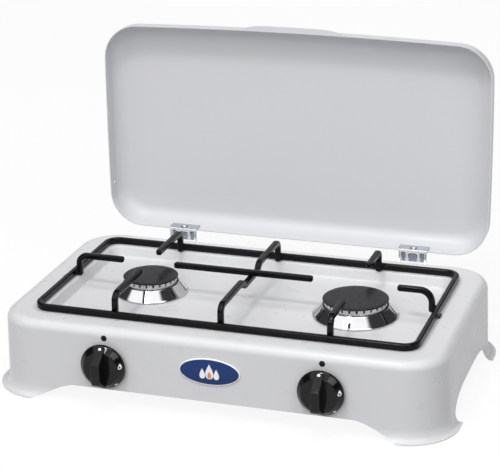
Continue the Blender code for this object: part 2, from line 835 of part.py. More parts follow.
# ---- pan support -----------------------------------------------------------------------------
def pan_support():
    """Bar frame on the shelf, with bent fingers round each burner and a cross in the middle."""
    rail_section = section("rail_section", RAIL_T, RAIL_H, 0.0014)
    bar_section = section("bar_section", BAR, BAR, 0.0012)
    rail_z = LEDGE_Z + GAP + RAIL_H / 2
    outline = rounded_rectangle(RAIL_W / 2, RAIL_D / 2, RAIL_R, 5)
    rail = swept("support_rail", [(x, y, rail_z) for x, y in outline], rail_section, True)
    keep(rail, "black_enamel", pan_support_lift, smooth=50)

    inside = RAIL_T / 2 + GAP + BAR / 2
    leg_x, leg_y = RAIL_W / 2 - inside, RAIL_D / 2 - inside
    foot_z = LEDGE_Z + GAP

    def finger(name, leg, tip, bend):
        """A leg on the rail's inner side, bent over towards the burner."""
        leg, tip = Vector((*leg, 0)), Vector((*tip, 0))
        inward = (tip - leg).normalized()
        points = [leg + Vector((0, 0, foot_z))]
        for along, up in arc((bend, FINGER_Z - bend), bend, 180, 90, 5):
            points.append(leg + inward * along + Vector((0, 0, up)))
        points.append(tip + Vector((0, 0, FINGER_Z)))
        bar = swept(name, [tuple(p) for p in points], bar_section)
        keep(bar, "black_enamel", pan_support_lift, smooth=50)

    near, far = 0.0290, 0.0530  # clear radius over the small and the large burner
    finger("left_finger", (-leg_x, 0), (-BURNER_X - near, 0), 0.0090)
    finger("right_finger", (leg_x, 0), (BURNER_X + 0.0450, 0), 0.0130)
    finger("front_left_finger", (-BURNER_X, -leg_y), (-BURNER_X, -near + 0.003), 0.0080)
    finger("back_left_finger", (-BURNER_X, leg_y), (-BURNER_X, near), 0.0080)
    finger("front_right_finger", (BURNER_X, -leg_y), (BURNER_X, -far), 0.0080)
    finger("back_right_finger", (BURNER_X, leg_y), (BURNER_X, far), 0.0080)

    cross = [(-BURNER_X + 0.0298, 0, FINGER_Z), (BURNER_X - 0.0468, 0, FINGER_Z)]
    keep(swept("cross_bar", cross, bar_section), "black_enamel", pan_support_lift, smooth=50)

    low = FINGER_Z - BAR - GAP
    bend, slope = 0.0080, 0.0060
    half = [(leg_y, foot_z)]
    half += [(leg_y - along, up) for along, up in arc((bend, FINGER_Z - bend), bend, 180, 90, 5)]
    half += [(0.0300, FINGER_Z), (0.0300 - slope, low)]
    middle = [(0, -y, z) for y, z in half] + [(0, y, z) for y, z in reversed(half)]
    bar = swept("middle_bar", middle, bar_section)
    keep(bar, "black_enamel", pan_support_lift, smooth=50)

    for side, sign in sides():
        inner = RAIL_W / 2 + RAIL_T / 2 + GAP
        x0, x1 = sorted((sign * inner, sign * (inner + 0.0034)))
        lug = block(
            f"{side}_support_lug",
            (x0, -0.0175, HOB_Z + GAP),
            (x1, -0.0105, HOB_Z + 0.0028),
            0.0005,
        )
        keep(lug, "black_enamel", pan_support_lift)


# ---- lid and hinges --------------------------------------------------------------------------
def lid_outline(inset):
    """The open lid's outline in X and Z: a rounded rectangle with a bowed top and sides."""
    half_w, height = LID_W / 2 - inset, LID_D - 2 * inset
    radius = LID_R - inset
    points = []
    corners = ((1, 1, 0), (-1, 1, 90), (-1, -1, 180), (1, -1, 270))
    for n, (sx, sz, start) in enumerate(corners):
        centre = (sx * (half_w - radius), height / 2 + sz * (height / 2 - radius))
        points += arc(centre, radius, start, start + 90, 6)
        if n == 0:  # the long front edge needs points between its corners to bow
            reach = half_w - radius
            points += [(reach * (1 - 2 * i / 10), height) for i in range(1, 10)]
        if n in (1, 3):
            z = height / 2
            points += [(sx * half_w, z)]
    bowed = []
    for x, z in points:
        side = LID_SIDE_BOW * (1 - (2 * z / height - 1) ** 2) * (x / half_w)
        front = LID_BOW * (1 - (x / half_w) ** 2) * max(0.0, 2 * z / height - 1)
        bowed.append((x + side, LID_RIM_Z + inset + z + front))
    return bowed


def lid_shell():
    """A deep tray with soft edges; the open lid stands upright with its hollow to the front."""
    steps = [(0.0, 0.0), (0.0003, LID_DEPTH - LID_ROUND)]
    for angle in (22.5, 45, 67.5, 90):
        turn = angle * pi / 180
        inset = 0.0003 + LID_ROUND * (1 - cos(turn))
        steps.append((inset, LID_DEPTH - LID_ROUND + LID_ROUND * sin(turn)))
    rings = [[(x, LID_RIM_Y + depth, z) for x, z in lid_outline(inset)] for inset, depth in steps]
    shell = lofted("lid_shell", rings)
    shell.data.flip_normals()
    thicken(shell, LID_SHEET)

    # Finger lip: a low segment that stands out from the front edge at its middle.
    reach, rise, steps_across = 0.060, 0.0056, 12
    top = LID_RIM_Z + LID_D
    edge = []
    for i in range(steps_across + 1):
        x = reach - 2 * reach * i / steps_across
        bow = LID_BOW * (1 - (2 * x / LID_W) ** 2)
        edge.append((x, top + bow, 1 - (x / reach) ** 6))
    upper = [(x, z + rise * share) for x, z, share in edge]
    lower = [(x, z - LID_SHEET * 0.7) for x, z, _ in reversed(edge)]
    lip = plate("finger_lip", upper + lower, LID_SHEET, (0, LID_RIM_Y + LID_SHEET / 2, 0), "Y")
    weld(shell, lip)

    hole_y, hole_z = LID_RIM_Y + 0.0105, 0.135
    low, high = (-0.24, hole_y, hole_z), (0.24, hole_y, hole_z)
    cut(shell, cylinder("lid_side_holes", low, high, 0.0020, 12))
    for side, sign in sides():
        x = hinge_x(sign)
        low, high = (x, RIVET_Y, 0.080), (x, RIVET_Y, 0.095)
        cut(shell, cylinder(f"{side}_rivet_hole", low, high, 0.0019, 12))
    keep(shell, "white_enamel", lid_axis, smooth=40)


RIVET_Y = 0.1645
SCREW_Z = 0.0570
BRACKET_HALF = 0.0141


def hinge_x(sign):
    """X of the left or the right hinge's middle."""
    return sign * HINGE_X + HINGE_SHIFT


def screw_places(sign):
    """X of a hinge bracket's two screws."""
    return [hinge_x(sign) + offset for offset in (-0.0085, 0.0085)]


def hinge(side, sign):
    x = hinge_x(sign)
    axis = (HINGE_Y, HINGE_Z)
    tin = 0.0012

    # Bracket on the back wall, with two ears for the pin.
    face = WALL_Y + GAP + 0.0001
    back_plate = [
        (-BRACKET_HALF, 0.0520),
        (BRACKET_HALF, 0.0520),
        (BRACKET_HALF, 0.0735),
        (-BRACKET_HALF, 0.0735),
    ]
    holes = [circle((place - x, SCREW_Z), 0.0019, 12) for place in screw_places(sign)]
    bracket = plate(f"{side}_hinge_bracket", back_plate, tin, (x, face + tin / 2, 0), "Y", holes)
    eye_r = 0.0026
    ear_outline = arc(axis, eye_r, -90, 90, 8)
    ear_outline += [(face + 0.0004, HINGE_Z + eye_r), (face + 0.0004, HINGE_Z - eye_r - 0.0015)]
    pin_hole = circle(axis, PIN_R + 0.0002, 12)
    for end in (-1, 1):
        ear_x = x + end * (BRACKET_HALF - tin / 2)
        ear = plate(f"{side}_ear_{end}", ear_outline, tin, (ear_x, 0, 0), "X", [pin_hole])
        weld(bracket, ear)
    keep(bracket, "zinc")
    for number, place in enumerate(screw_places(sign), 1):
        head = face + tin + GAP
        screw = turned(
            f"{side}_bracket_screw_{number}",
            [
                (0, head + 0.0018),
                (0.0016, head + 0.0017),
                (0.0030, head + 0.0009),
                (0.0032, head),
                (0.0015, head),
                (0.0015, 0.1330),
                (0.0008, 0.1310),
                (0, 0.1310),
            ],
            (place, 0, SCREW_Z),
            steps=12,
        )
        screw.rotation_euler = (-pi / 2, 0, 0)
        keep(screw, "zinc")

    # Leaf on the lid: a plate inside the rear wall, a scalloped hood over its rim, a panel
    # behind the hood, and two arms that reach round the hob's rounded edge to the pin.
    leaf_half = 0.0158
    arm_x = leaf_half - tin / 2
    web_y, web_t = 0.1598, 0.0009
    corner = (HINGE_Y + HOB_Z - EDGE_R - HINGE_Z, HINGE_Z + HINGE_Y - (TOP_D / 2 - EDGE_R))
    clear = EDGE_R + 0.0005
    rear = LID_RIM_Z + LID_SHEET + 0.0006  # underside of the plate on the lid's rear wall
    arm = arc(axis, eye_r, 90, 270, 8)
    arm += arc((0.1530, 0.0764), 0.0110, 270, 360, 5)
    arm += [(0.1640, LID_RIM_Z - 0.0006), (web_y + web_t, LID_RIM_Z - 0.0006)]
    arm += [(web_y + web_t, rear + tin), (web_y, rear + tin)]
    arm += arc(corner, clear, 0, -90, 6)
    arch_top, web_low = 0.0838, 0.0762
    web = [(-leaf_half, rear + tin), (-leaf_half, web_low), (-0.0136, web_low)]
    web += [(-0.0136, 0.0815)] + arc((-0.0116, 0.0815), 0.0020, 180, 0, 4)
    web += [(-0.0096, web_low + 0.0010), (-0.0086, web_low), (-0.0072, web_low)]
    web += arc((-0.0042, arch_top - 0.0030), 0.0030, 180, 90, 4)
    web = web + [(-px, pz) for px, pz in reversed(web)]
    leaf_y = web_y + 0.0064
    leaf_outline = rounded_rectangle(0.0172, leaf_y - web_y, 0.0020, 3)
    leaf_hole = circle((0, RIVET_Y - leaf_y), 0.0019, 12)
    leaf_middle = (x, leaf_y, rear + tin / 2)
    leaf = plate(f"{side}_hinge_leaf", leaf_outline, tin, leaf_middle, "Z", [leaf_hole])
    panel_low = (x - arm_x, web_y + 2 * web_t, web_low - 0.0012)
    panel_high = (x + arm_x, web_y + 3 * web_t, LID_RIM_Z - 0.0018)
    weld(
        leaf,
        plate(f"{side}_web", web, web_t, (x, web_y + web_t / 2, 0), "Y"),
        block(f"{side}_panel", panel_low, panel_high),
    )
    for end in (-1, 1):
        place = (x + end * arm_x, 0, 0)
        weld(leaf, plate(f"{side}_arm_{end}", arm, tin, place, "X", [pin_hole]))
    keep(leaf, "zinc", lid_axis)

    top = rear + tin + GAP
    under = LID_RIM_Z - GAP
    rivet = turned(
        f"{side}_leaf_rivet",
        [
            (0, top + 0.0020),
            (0.0014, top + 0.0018),
            (0.0027, top + 0.0010),
            (0.0032, top),
            (0.0016, top),
            (0.0016, under),
            (0.0022, under),
            (0.0021, under - 0.0009),
            (0, under - 0.0010),
        ],
        (x, RIVET_Y, 0),
        steps=16,
    )
    keep(rivet, "zinc", lid_axis)

    reach = leaf_half + GAP
    pin = turned(
        f"{side}_hinge_pin",
        [
            (0, reach + 0.0010),
            (0.0018, reach + 0.0010),
            (0.0022, reach),
            (PIN_R, reach),
            (PIN_R, -reach),
            (0.0022, -reach),
            (0.0018, -reach - 0.0010),
            (0, -reach - 0.0010),
        ],
        (x, HINGE_Y, HINGE_Z),
        steps=12,
    )
    pin.rotation_euler = (0, pi / 2, 0)
    keep(pin, "steel")


# ---- build -----------------------------------------------------------------------------------
body_shell()
badge()
for half, half_sign in sides():
    burner(half, half_sign)
    tap(half, half_sign)
    push_and_turn(half, half_sign)
    hinge(half, half_sign)
gas_rail()
rail_bracket("left", -0.060)
rail_bracket("right", 0.060)
pan_support()
lid_shell()
bpy.context.view_layer.update()
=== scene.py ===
"""Looks of a two-burner camping stove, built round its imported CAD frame.

Pieces are shaped in hob coordinates: X across the stove, Y to the back and Z up, with the origin
on the table under the middle of the hob. HOB_Y then moves them to the frame's coordinates.
Everything is in metres.
"""
import json
from math import cos, pi, radians, sin, sqrt, tau

import bmesh
import bpy
from mathutils import Matrix, Vector

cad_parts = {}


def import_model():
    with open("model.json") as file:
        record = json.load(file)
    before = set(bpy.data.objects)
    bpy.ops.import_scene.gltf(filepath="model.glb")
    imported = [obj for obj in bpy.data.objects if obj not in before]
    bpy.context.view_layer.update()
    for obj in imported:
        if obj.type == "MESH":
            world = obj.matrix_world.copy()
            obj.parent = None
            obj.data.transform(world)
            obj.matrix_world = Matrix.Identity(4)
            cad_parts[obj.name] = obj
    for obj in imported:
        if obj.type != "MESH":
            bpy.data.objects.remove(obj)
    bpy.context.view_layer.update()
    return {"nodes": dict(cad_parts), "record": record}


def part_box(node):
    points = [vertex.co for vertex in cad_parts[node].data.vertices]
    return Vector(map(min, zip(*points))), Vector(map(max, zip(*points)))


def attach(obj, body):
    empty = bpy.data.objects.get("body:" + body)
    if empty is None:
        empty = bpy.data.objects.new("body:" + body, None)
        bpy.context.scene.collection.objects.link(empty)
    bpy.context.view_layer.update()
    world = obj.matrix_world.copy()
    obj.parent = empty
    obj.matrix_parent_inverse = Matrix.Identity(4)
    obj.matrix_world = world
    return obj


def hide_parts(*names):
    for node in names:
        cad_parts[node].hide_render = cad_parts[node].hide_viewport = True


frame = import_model()

# ---- measures taken from the frame ----
body_low, body_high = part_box("body_shell")
HOB_Y = (body_low.y + body_high.y) / 2
FOOT_W, FOOT_D = body_high.x, (body_high.y - body_low.y) / 2
HOB_Z = body_high.z
rail_low, rail_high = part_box("support_rail")
RAIL_T, RAIL_H = 0.0058, rail_high.z - rail_low.z
RAIL_X, RAIL_Y = rail_high.x - RAIL_T / 2, (rail_high.y - rail_low.y) / 2 - RAIL_T / 2
RAIL_Z = (rail_low.z + rail_high.z) / 2
cross_low, cross_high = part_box("cross_bar")
BAR = cross_high.z - cross_low.z
FINGER_Z = (cross_low.z + cross_high.z) / 2
lid_low, lid_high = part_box("lid_shell")
LID_RIM_Y, LID_RIM_Z = lid_low.y - HOB_Y, lid_low.z
LID_DEPTH = lid_high.y - lid_low.y
knob_low, knob_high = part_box("right_knob")
KNOB_Z = (knob_low.z + knob_high.z) / 2
KNOB_R = (knob_high.z - knob_low.z) / 2

# ---- measures shared with the CAD source ----
SHEET, LID_SHEET = 0.0010, 0.0009
WALL_W, WALL_D, WALL_R = 0.2410, 0.1390, 0.047
TOP_W, TOP_D, TOP_R = 0.2386, 0.1386, 0.044
FOOT_R, EDGE_R = 0.055, 0.010
LEDGE_Z, FLOOR_Z = 0.0835, 0.0715
ARCH_Z, ARCH_FLAT, ARCH_END = 0.0175, 0.148, 0.203
SIDE_ARCH_Z, SIDE_ARCH_HALF = 0.0245, 0.080
LID_W, LID_D, LID_R, LID_ROUND = 0.450, 0.240, 0.038, 0.017
LID_BOW, LID_SIDE_BOW = 0.0046, 0.0012
GAP = 0.0003
SHANK_R = 0.0019  # radius of the holes for rivets and bracket screws


def hob_box(node):
    """A node's box in hob coordinates."""
    low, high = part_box(node)
    shift = Vector((0, HOB_Y, 0))
    return low - shift, high - shift


def middle_of(node):
    low, high = hob_box(node)
    return (low + high) / 2


# ---- mesh makers ----
def mesh_object(name, bm):
    bmesh.ops.recalc_face_normals(bm, faces=bm.faces)
    mesh = bpy.data.meshes.new(name)
    bm.to_mesh(mesh)
    bm.free()
    obj = bpy.data.objects.new(name, mesh)
    bpy.context.scene.collection.objects.link(obj)
    return obj


def baked(obj):
    """The object with its modifiers applied to its mesh."""
    bpy.context.view_layer.update()
    graph = bpy.context.evaluated_depsgraph_get()
    mesh = bpy.data.meshes.new_from_object(obj.evaluated_get(graph))
    obj.modifiers.clear()
    obj.data = mesh
    return obj


def cut(obj, cutter, operation="DIFFERENCE"):
    """Apply an exact Boolean and drop the cutter."""
    modifier = obj.modifiers.new("cut", "BOOLEAN")
    modifier.object = cutter
    modifier.operation = operation
    modifier.solver = "EXACT"
    baked(obj)
    bpy.data.objects.remove(cutter, do_unlink=True)
    return obj


def weld(obj, other):
    return cut(obj, other, "UNION")


def bevelled(obj, width, segments=3, angle=30):
    modifier = obj.modifiers.new("edges", "BEVEL")
    modifier.width = width
    modifier.segments = segments
    modifier.limit_method = "ANGLE"
    modifier.angle_limit = radians(angle)
    modifier.use_clamp_overlap = True
    return baked(obj)


def thickened(obj, thickness):
    """Turn a skin into sheet metal of the given thickness, on its inner side."""
    sheet = obj.modifiers.new("sheet", "SOLIDIFY")
    sheet.thickness = thickness
    sheet.offset = -1
    sheet.use_even_offset = True
    return baked(obj)


def arc(centre, radius, first, last, steps):
    """Points on part of a circle; the angles are in degrees."""
    points = []
    for i in range(steps + 1):
        angle = radians(first + (last - first) * i / steps)
        points.append((centre[0] + radius * cos(angle), centre[1] + radius * sin(angle)))
    return points


def circle(centre, radius, count=24):
    """Points all round a circle, with the first one not repeated."""
    return arc(centre, radius, 0, 360 - 360 / count, count - 1)


def rounded_rectangle(half_x, half_y, radius, steps=14):
    points = []
    for sx, sy, start in ((1, 1, 0), (-1, 1, 90), (-1, -1, 180), (1, -1, 270)):
        centre = (sx * (half_x - radius), sy * (half_y - radius))
        points += arc(centre, radius, start, start + 90, steps)
    return points


def softened(stations, radius, steps=4, closed=False):
    """A polyline of any dimension whose corners are replaced by short curves."""
    count = len(stations)
    made = []
    for i, here in enumerate(stations):
        here = Vector(here)
        if not closed and i in (0, count - 1):
            made.append(tuple(here))
            continue
        before, after = Vector(stations[i - 1]), Vector(stations[(i + 1) % count])
        back, on = before - here, after - here
        start = here + back * min(0.45, radius / max(back.length, 1e-9))
        end = here + on * min(0.45, radius / max(on.length, 1e-9))
        for k in range(steps + 1):
            t = k / steps
            made.append(tuple(start * (1 - t) ** 2 + here * 2 * t * (1 - t) + end * t**2))
    return made


def lofted(name, rings, close_first=False, close_last=False, wrap=False):
    """A skin through rings with equal point counts."""
    bm = bmesh.new()
    rows = [[bm.verts.new(point) for point in ring] for ring in rings]
    pairs = list(zip(rows, rows[1:]))
    if wrap:
        pairs.append((rows[-1], rows[0]))
    for low, high in pairs:
        count = len(low)
        for i in range(count):
            j = (i + 1) % count
            bm.faces.new((low[i], low[j], high[j], high[i]))
    if close_first:
        bm.faces.new(rows[0][::-1])
    if close_last:
        bm.faces.new(rows[-1])
    return mesh_object(name, bm)


def solid(name, rings):
    return lofted(name, rings, close_first=True, close_last=True)


def turned(name, profile, steps=96, ring=False):
    """A profile of (radius, height) turned round Z; points on the axis become a pole."""
    bm = bmesh.new()
    rows = []
    for radius, height in profile:
        if radius < 1e-7:
            rows.append([bm.verts.new((0, 0, height))])
            continue
        turns = [tau * i / steps for i in range(steps)]
        rows.append([bm.verts.new((radius * cos(t), radius * sin(t), height)) for t in turns])
    pairs = list(zip(rows, rows[1:]))
    if ring:
        pairs.append((rows[-1], rows[0]))
    for low, high in pairs:
        for i in range(steps):
            j = (i + 1) % steps
            corners = [low[i % len(low)], low[j % len(low)], high[j % len(high)], high[i % len(high)]]
            unique = list(dict.fromkeys(corners))
            if len(unique) > 2:
                bm.faces.new(unique)
    return mesh_object(name, bm)


def prism(name, outline, low, high, facing="Z"):
    """An outline extruded from low to high along the axis that it faces."""
    spots = {
        "Z": lambda a, b, h: (a, b, h),
        "Y": lambda a, b, h: (a, h, b),
        "X": lambda a, b, h: (h, a, b),
    }
    spot = spots[facing]
    rings = [[spot(a, b, h) for a, b in outline] for h in (low, high)]
    return solid(name, rings)


def drill(obj, centre, radius, low, high, facing="Z", count=24):
    """Cut a round hole through an object, from low to high along the axis that it faces."""
    return cut(obj, prism("hole", circle(centre, radius, count), low, high, facing))


def swept(name, points, outline, side, closed=False, round_end=0.0):
    """A section swept along a flat path; side is the normal of the path's plane.

    The outline shrinks over the last round_end of an open path, so that its ends are domed.
    """
    side = Vector(side).normalized()
    points = [Vector(p) for p in points]
    count = len(points)
    half = max(abs(v) for point in outline for v in point)
    rings = []

    def ring(at, along, stretch, scale=1.0):
        up = side.cross(along).normalized()
        return [at + (side * a + up * b * stretch) * scale for a, b in outline]

    for i, here in enumerate(points):
        before = points[i - 1] if closed or i else None
        after = points[(i + 1) % count] if closed or i < count - 1 else None
        if before is None or after is None:
            along = (here - before if after is None else after - here).normalized()
            if not round_end:
                rings.append(ring(here, along, 1.0))
                continue
            for k in range(4) if before is None else range(3, -1, -1):
                angle = radians(30 * k)
                shift = round_end * (1 - cos(angle)) * (1 if before is None else -1)
                scale = 1 - round_end * (1 - sin(angle)) / half
                rings.append(ring(here + along * shift, along, 1.0, scale))
            continue
        one, two = (here - before).normalized(), (after - here).normalized()
        along = (one + two).normalized()
        rings.append(ring(here, along, 1 / max(0.5, along.dot(two))))
    return lofted(name, rings, not closed, not closed, wrap=closed)


def piece(obj, finish, body, replaces=(), sharp=40, weighted=True, at=(0, 0, 0)):
    """Shade a finished piece, put it in the frame and let it ride on its body."""
    mesh = obj.data
    mesh.materials.clear()
    mesh.materials.append(finish.material)
    mesh.shade_smooth()
    mesh.set_sharp_from_angle(angle=radians(sharp))
    if weighted:
        normals = obj.modifiers.new("normals", "WEIGHTED_NORMAL")
        normals.keep_sharp = True
        normals.weight = 60
    mesh.transform(Matrix.Translation(Vector(at) + Vector((0, HOB_Y, 0))))
    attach(obj, body)
    if replaces:
        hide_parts(*replaces)
    return obj


# ---- materials ----
class Nodes:
    """A node tree that is added to one node at a time."""

    def __init__(self, tree):
        self.tree = tree

    def add(self, kind, links=None, **values):
        """A new node; what is given for each of its inputs is a socket or a plain value."""
        node = self.tree.nodes.new(kind)
        for name, value in values.items():
            setattr(node, name, value)
        for socket, source in (links or {}).items():
            if hasattr(source, "is_output"):
                self.tree.links.new(source, node.inputs[socket])
            else:
                node.inputs[socket].default_value = source
        return node


class Finish(Nodes):
    """A Principled material with helpers for the procedural detail on it."""

    def __init__(self, name, colour, roughness, metallic=0.0, **constants):
        self.material = bpy.data.materials.new(name)
        self.material.use_nodes = True
        super().__init__(self.material.node_tree)
        self.shader = self.tree.nodes["Principled BSDF"]
        self.tint = (*colour, 1.0)
        self.set("Base Color", self.tint)
        self.set("Roughness", roughness)
        self.set("Metallic", metallic)
        for socket, value in constants.items():
            self.set(socket.replace("_", " "), value)
        self.spot = self.add("ShaderNodeTexCoord").outputs["Object"]
        self.normal = None

    def set(self, socket, value):
        self.shader.inputs[socket].default_value = value

    def texture(self, source):
        """A socket as it is, or a noise from its scale, detail and stretch."""
        return self.noise(*source) if isinstance(source, tuple) else source

    def noise(self, scale, detail, stretch=None):
        spot = self.spot
        if stretch:
            mapping = self.add("ShaderNodeMapping", {"Vector": spot, "Scale": stretch})
            spot = mapping.outputs["Vector"]
        links = {"Vector": spot, "Scale": scale, "Detail": detail}
        return self.add("ShaderNodeTexNoise", links).outputs["Fac"]

    def cells(self, scale):
        """Distance to the nearest of many scattered points."""
        node = self.add("ShaderNodeTexVoronoi", {"Vector": self.spot, "Scale": scale})
        return node.outputs["Distance"]

    def spread(self, source, low, high, to_low=0.0, to_high=1.0):
        """Map a range of a texture to another range, held at its ends."""
        links = {0: self.texture(source), 1: low, 2: high, 3: to_low, 4: to_high}
        return self.add("ShaderNodeMapRange", links, clamp=True).outputs["Result"]

    def height(self):
        """Z in the stove's own coordinates."""
        return self.add("ShaderNodeSeparateXYZ", {"Vector": self.spot}).outputs["Z"]

    def pointed(self):
        """Over 0.5 on convex edges, under it in creases."""
        return self.add("ShaderNodeNewGeometry").outputs["Pointiness"]

    def multiply(self, one, two):
        return self.add("ShaderNodeMath", {0: one, 1: two}, operation="MULTIPLY").outputs[0]

    def tinted(self, mask, colour, amount):
        """Mix a colour over the base where the mask is."""
        # input 0 is the factor, 6 and 7 are the two colours
        links = {0: self.multiply(mask, amount), 6: self.tint, 7: (*colour, 1.0)}
        self.tint = self.add("ShaderNodeMix", links, data_type="RGBA").outputs[2]
        self.tree.links.new(self.tint, self.shader.inputs["Base Color"])

    def mottled(self, noise, band, colour, amount):
        """Tint patches, where a noise rises through a band."""
        self.tinted(self.spread(noise, *band), colour, amount)

    def edge_wear_and_highlight(self, band, colour, amount):
        """Tint convex edges: wear where a coat is thinner on some finishes, a painted highlight on
        others.
        """
        self.tinted(self.spread(self.pointed(), *band), colour, amount)

    def rough(self, source, low, high):
        """Roughness that follows a texture."""
        spread = self.spread(source, 0.3, 0.7, low, high)
        self.tree.links.new(spread, self.shader.inputs["Roughness"])

    def bump(self, source, depth, strength):
        """Relief of the given depth in metres, added to what is there."""
        links = {"Height": self.texture(source), "Distance": depth, "Strength": strength}
        if self.normal:
            links["Normal"] = self.normal
        self.normal = self.add("ShaderNodeBump", links).outputs["Normal"]
        self.tree.links.new(self.normal, self.shader.inputs["Normal"])


def vitreous(name, colour, patch, scales, speck, roughness, gloss):
    """White enamel: a faint orange peel, pin specks and a slightly uneven gloss."""
    patches, sheen, ripple = scales
    made = Finish(name, colour, roughness, Specular_IOR_Level=gloss)
    made.mottled((patches, 2.0), (0.35, 0.70), patch, 0.6)
    made.mottled((2600.0, 1.0), (0.74, 0.82), (0.50, 0.49, 0.48), speck)
    made.edge_wear_and_highlight((0.56, 0.66), (0.72, 0.722, 0.73), 0.4)
    made.rough((sheen, 4.0), roughness - 0.04, roughness + 0.04)
    made.bump((ripple, 2.0), 0.00010, 0.06)
    made.bump((900.0, 1.0), 0.00001, 0.10)
    return made


# The hob's enamel.
ENAMEL_LOOK = ((0.640, 0.643, 0.655), (0.628, 0.632, 0.646), (7.0, 38.0, 60.0))
ENAMEL = vitreous("enamel_white", *ENAMEL_LOOK, speck=0.05, roughness=0.30, gloss=0.42)

# The lid's enamel is a touch cooler and duller.
LID_LOOK = ((0.640, 0.644, 0.660), (0.628, 0.632, 0.650), (5.0, 30.0, 55.0))
LID_ENAMEL = vitreous("enamel_lid", *LID_LOOK, speck=0.04, roughness=0.34, gloss=0.40)

# Gloss black enamel of the bars: wavy and pitted, with a painted highlight that greys its edges.
BLACK = Finish("enamel_black", (0.0035, 0.0032, 0.0034), 0.12, Specular_IOR_Level=0.17)
BLACK.mottled((60.0, 3.0), (0.40, 0.75), (0.007, 0.0055, 0.0055), 0.8)
# painted highlight: greyer convex edges
BLACK.edge_wear_and_highlight((0.56, 0.68), (0.17, 0.165, 0.165), 0.4)
BLACK.rough((120.0, 4.0), 0.08, 0.19)
BLACK.bump((210.0, 2.0), 0.0002, 0.15)
BLACK.bump(BLACK.spread(BLACK.cells(1300.0), 0.0, 0.35), 0.00004, 0.20)

# Semi-gloss black enamel of the burner caps.
CAP = Finish("enamel_cap", (0.010, 0.010, 0.0105), 0.24, Specular_IOR_Level=0.17)
CAP.mottled((90.0, 4.0), (0.40, 0.70), (0.007, 0.007, 0.008), 0.8)
CAP.mottled((2400.0, 1.0), (0.70, 0.80), (0.030, 0.030, 0.030), 0.15)
CAP.edge_wear_and_highlight((0.54, 0.64), (0.06, 0.06, 0.058), 0.5)
CAP.rough((260.0, 3.0), 0.20, 0.29)
CAP.bump((900.0, 2.0), 0.00002, 0.12)
CAP.bump((140.0, 2.0), 0.0001, 0.05)

# Polished chrome with fine turning marks and a slight heat stain near the flames.
CHROME = Finish("chrome_polished", (0.66, 0.66, 0.675), 0.06, metallic=1.0)
stain = CHROME.spread(CHROME.height(), FLOOR_Z + 0.006, HOB_Z, 0.0, 1.0)
patch = CHROME.multiply(stain, CHROME.spread((55.0, 3.0), 0.42, 0.70))
CHROME.tinted(patch, (0.60, 0.55, 0.48), 0.35)
CHROME.mottled((420.0, 3.0), (0.62, 0.74), (0.54, 0.54, 0.56), 0.25)
CHROME.rough((700.0, 3.0, (1.0, 1.0, 9.0)), 0.035, 0.13)
CHROME.bump((900.0, 2.0, (0.12, 0.12, 6.0)), 0.00003, 0.20)

# Bright cast and turned aluminium.
ALUMINIUM = Finish("aluminium_cast", (0.74, 0.74, 0.75), 0.38, metallic=1.0)
ALUMINIUM.mottled((160.0, 5.0), (0.42, 0.72), (0.52, 0.52, 0.53), 0.55)
pits = ALUMINIUM.spread(ALUMINIUM.cells(1400.0), 0.0, 0.22, 1.0, 0.0)
ALUMINIUM.tinted(pits, (0.36, 0.36, 0.37), 0.35)
ALUMINIUM.rough((420.0, 4.0), 0.28, 0.50)
ALUMINIUM.bump((1200.0, 4.0), 0.0001, 0.35)

# Zinc plate with its bluish passivation and soft spangle, painted shade in its creases and a painted
# highlight on its edges.
ZINC = Finish("zinc_plate", (0.50, 0.53, 0.61), 0.22, metallic=1.0)
ZINC.mottled((190.0, 3.0), (0.42, 0.68), (0.34, 0.38, 0.47), 0.6)
ZINC.tinted(ZINC.spread(ZINC.cells(520.0), 0.05, 0.5), (0.66, 0.68, 0.74), 0.25)
# painted shade: darker in the creases
ZINC.tinted(ZINC.spread(ZINC.pointed(), 0.49, 0.42), (0.08, 0.08, 0.10), 0.85)
# painted highlight: lighter convex edges
ZINC.edge_wear_and_highlight((0.53, 0.62), (0.92, 0.93, 0.96), 0.8)
ZINC.rough((600.0, 4.0), 0.16, 0.30)
ZINC.bump((1500.0, 3.0), 0.00003, 0.15)

# A lighter copy of the same plate for the leaf's hood and ribs: a painted highlight, with painted shade
# in their creases.
ZINC_PAINTED_LIT = Finish("zinc_painted_highlight", (0.92, 0.93, 0.96), 0.26, metallic=0.30)
ZINC_PAINTED_LIT.mottled((260.0, 3.0), (0.45, 0.70), (0.78, 0.80, 0.86), 0.30)
# painted shade: darker in the creases
ZINC_PAINTED_LIT.tinted(ZINC_PAINTED_LIT.spread(ZINC_PAINTED_LIT.pointed(), 0.48, 0.40), (0.16, 0.16, 0.18), 0.7)
ZINC_PAINTED_LIT.rough((700.0, 3.0), 0.20, 0.34)
ZINC_PAINTED_LIT.bump((1500.0, 3.0), 0.00002, 0.15)

# Dark, dull zinc as painted shade behind the leaf's flutes and a painted shadow round its rivet.
PAINTED_SHADE = Finish("zinc_painted_shade", (0.040, 0.040, 0.046), 0.62, Specular_IOR_Level=0.2)
PAINTED_SHADE.mottled((420.0, 4.0), (0.42, 0.66), (0.085, 0.085, 0.095), 0.6)
PAINTED_SHADE.rough((300.0, 3.0), 0.50, 0.75)
PAINTED_SHADE.bump((1200.0, 3.0), 0.00004, 0.3)

# Machined brass, dulled in patches.
BRASS = Finish("brass_machined", (0.74, 0.54, 0.24), 0.28, metallic=1.0)
BRASS.mottled((210.0, 5.0), (0.45, 0.75), (0.44, 0.29, 0.12), 0.6)
BRASS.edge_wear_and_highlight((0.53, 0.62), (0.88, 0.70, 0.38), 0.6)
BRASS.rough((500.0, 4.0), 0.20, 0.42)
BRASS.bump((1500.0, 2.0, (1.0, 8.0, 1.0)), 0.00004, 0.35)

# Drawn steel with fine lines and a film of oil.
STEEL = Finish("steel_drawn", (0.46, 0.46, 0.48), 0.34, metallic=1.0)
STEEL.mottled((150.0, 5.0), (0.45, 0.75), (0.30, 0.29, 0.28), 0.6)
STEEL.rough((700.0, 4.0), 0.24, 0.46)
STEEL.bump((1300.0, 2.0, (0.15, 1.0, 1.0)), 0.00004, 0.35)

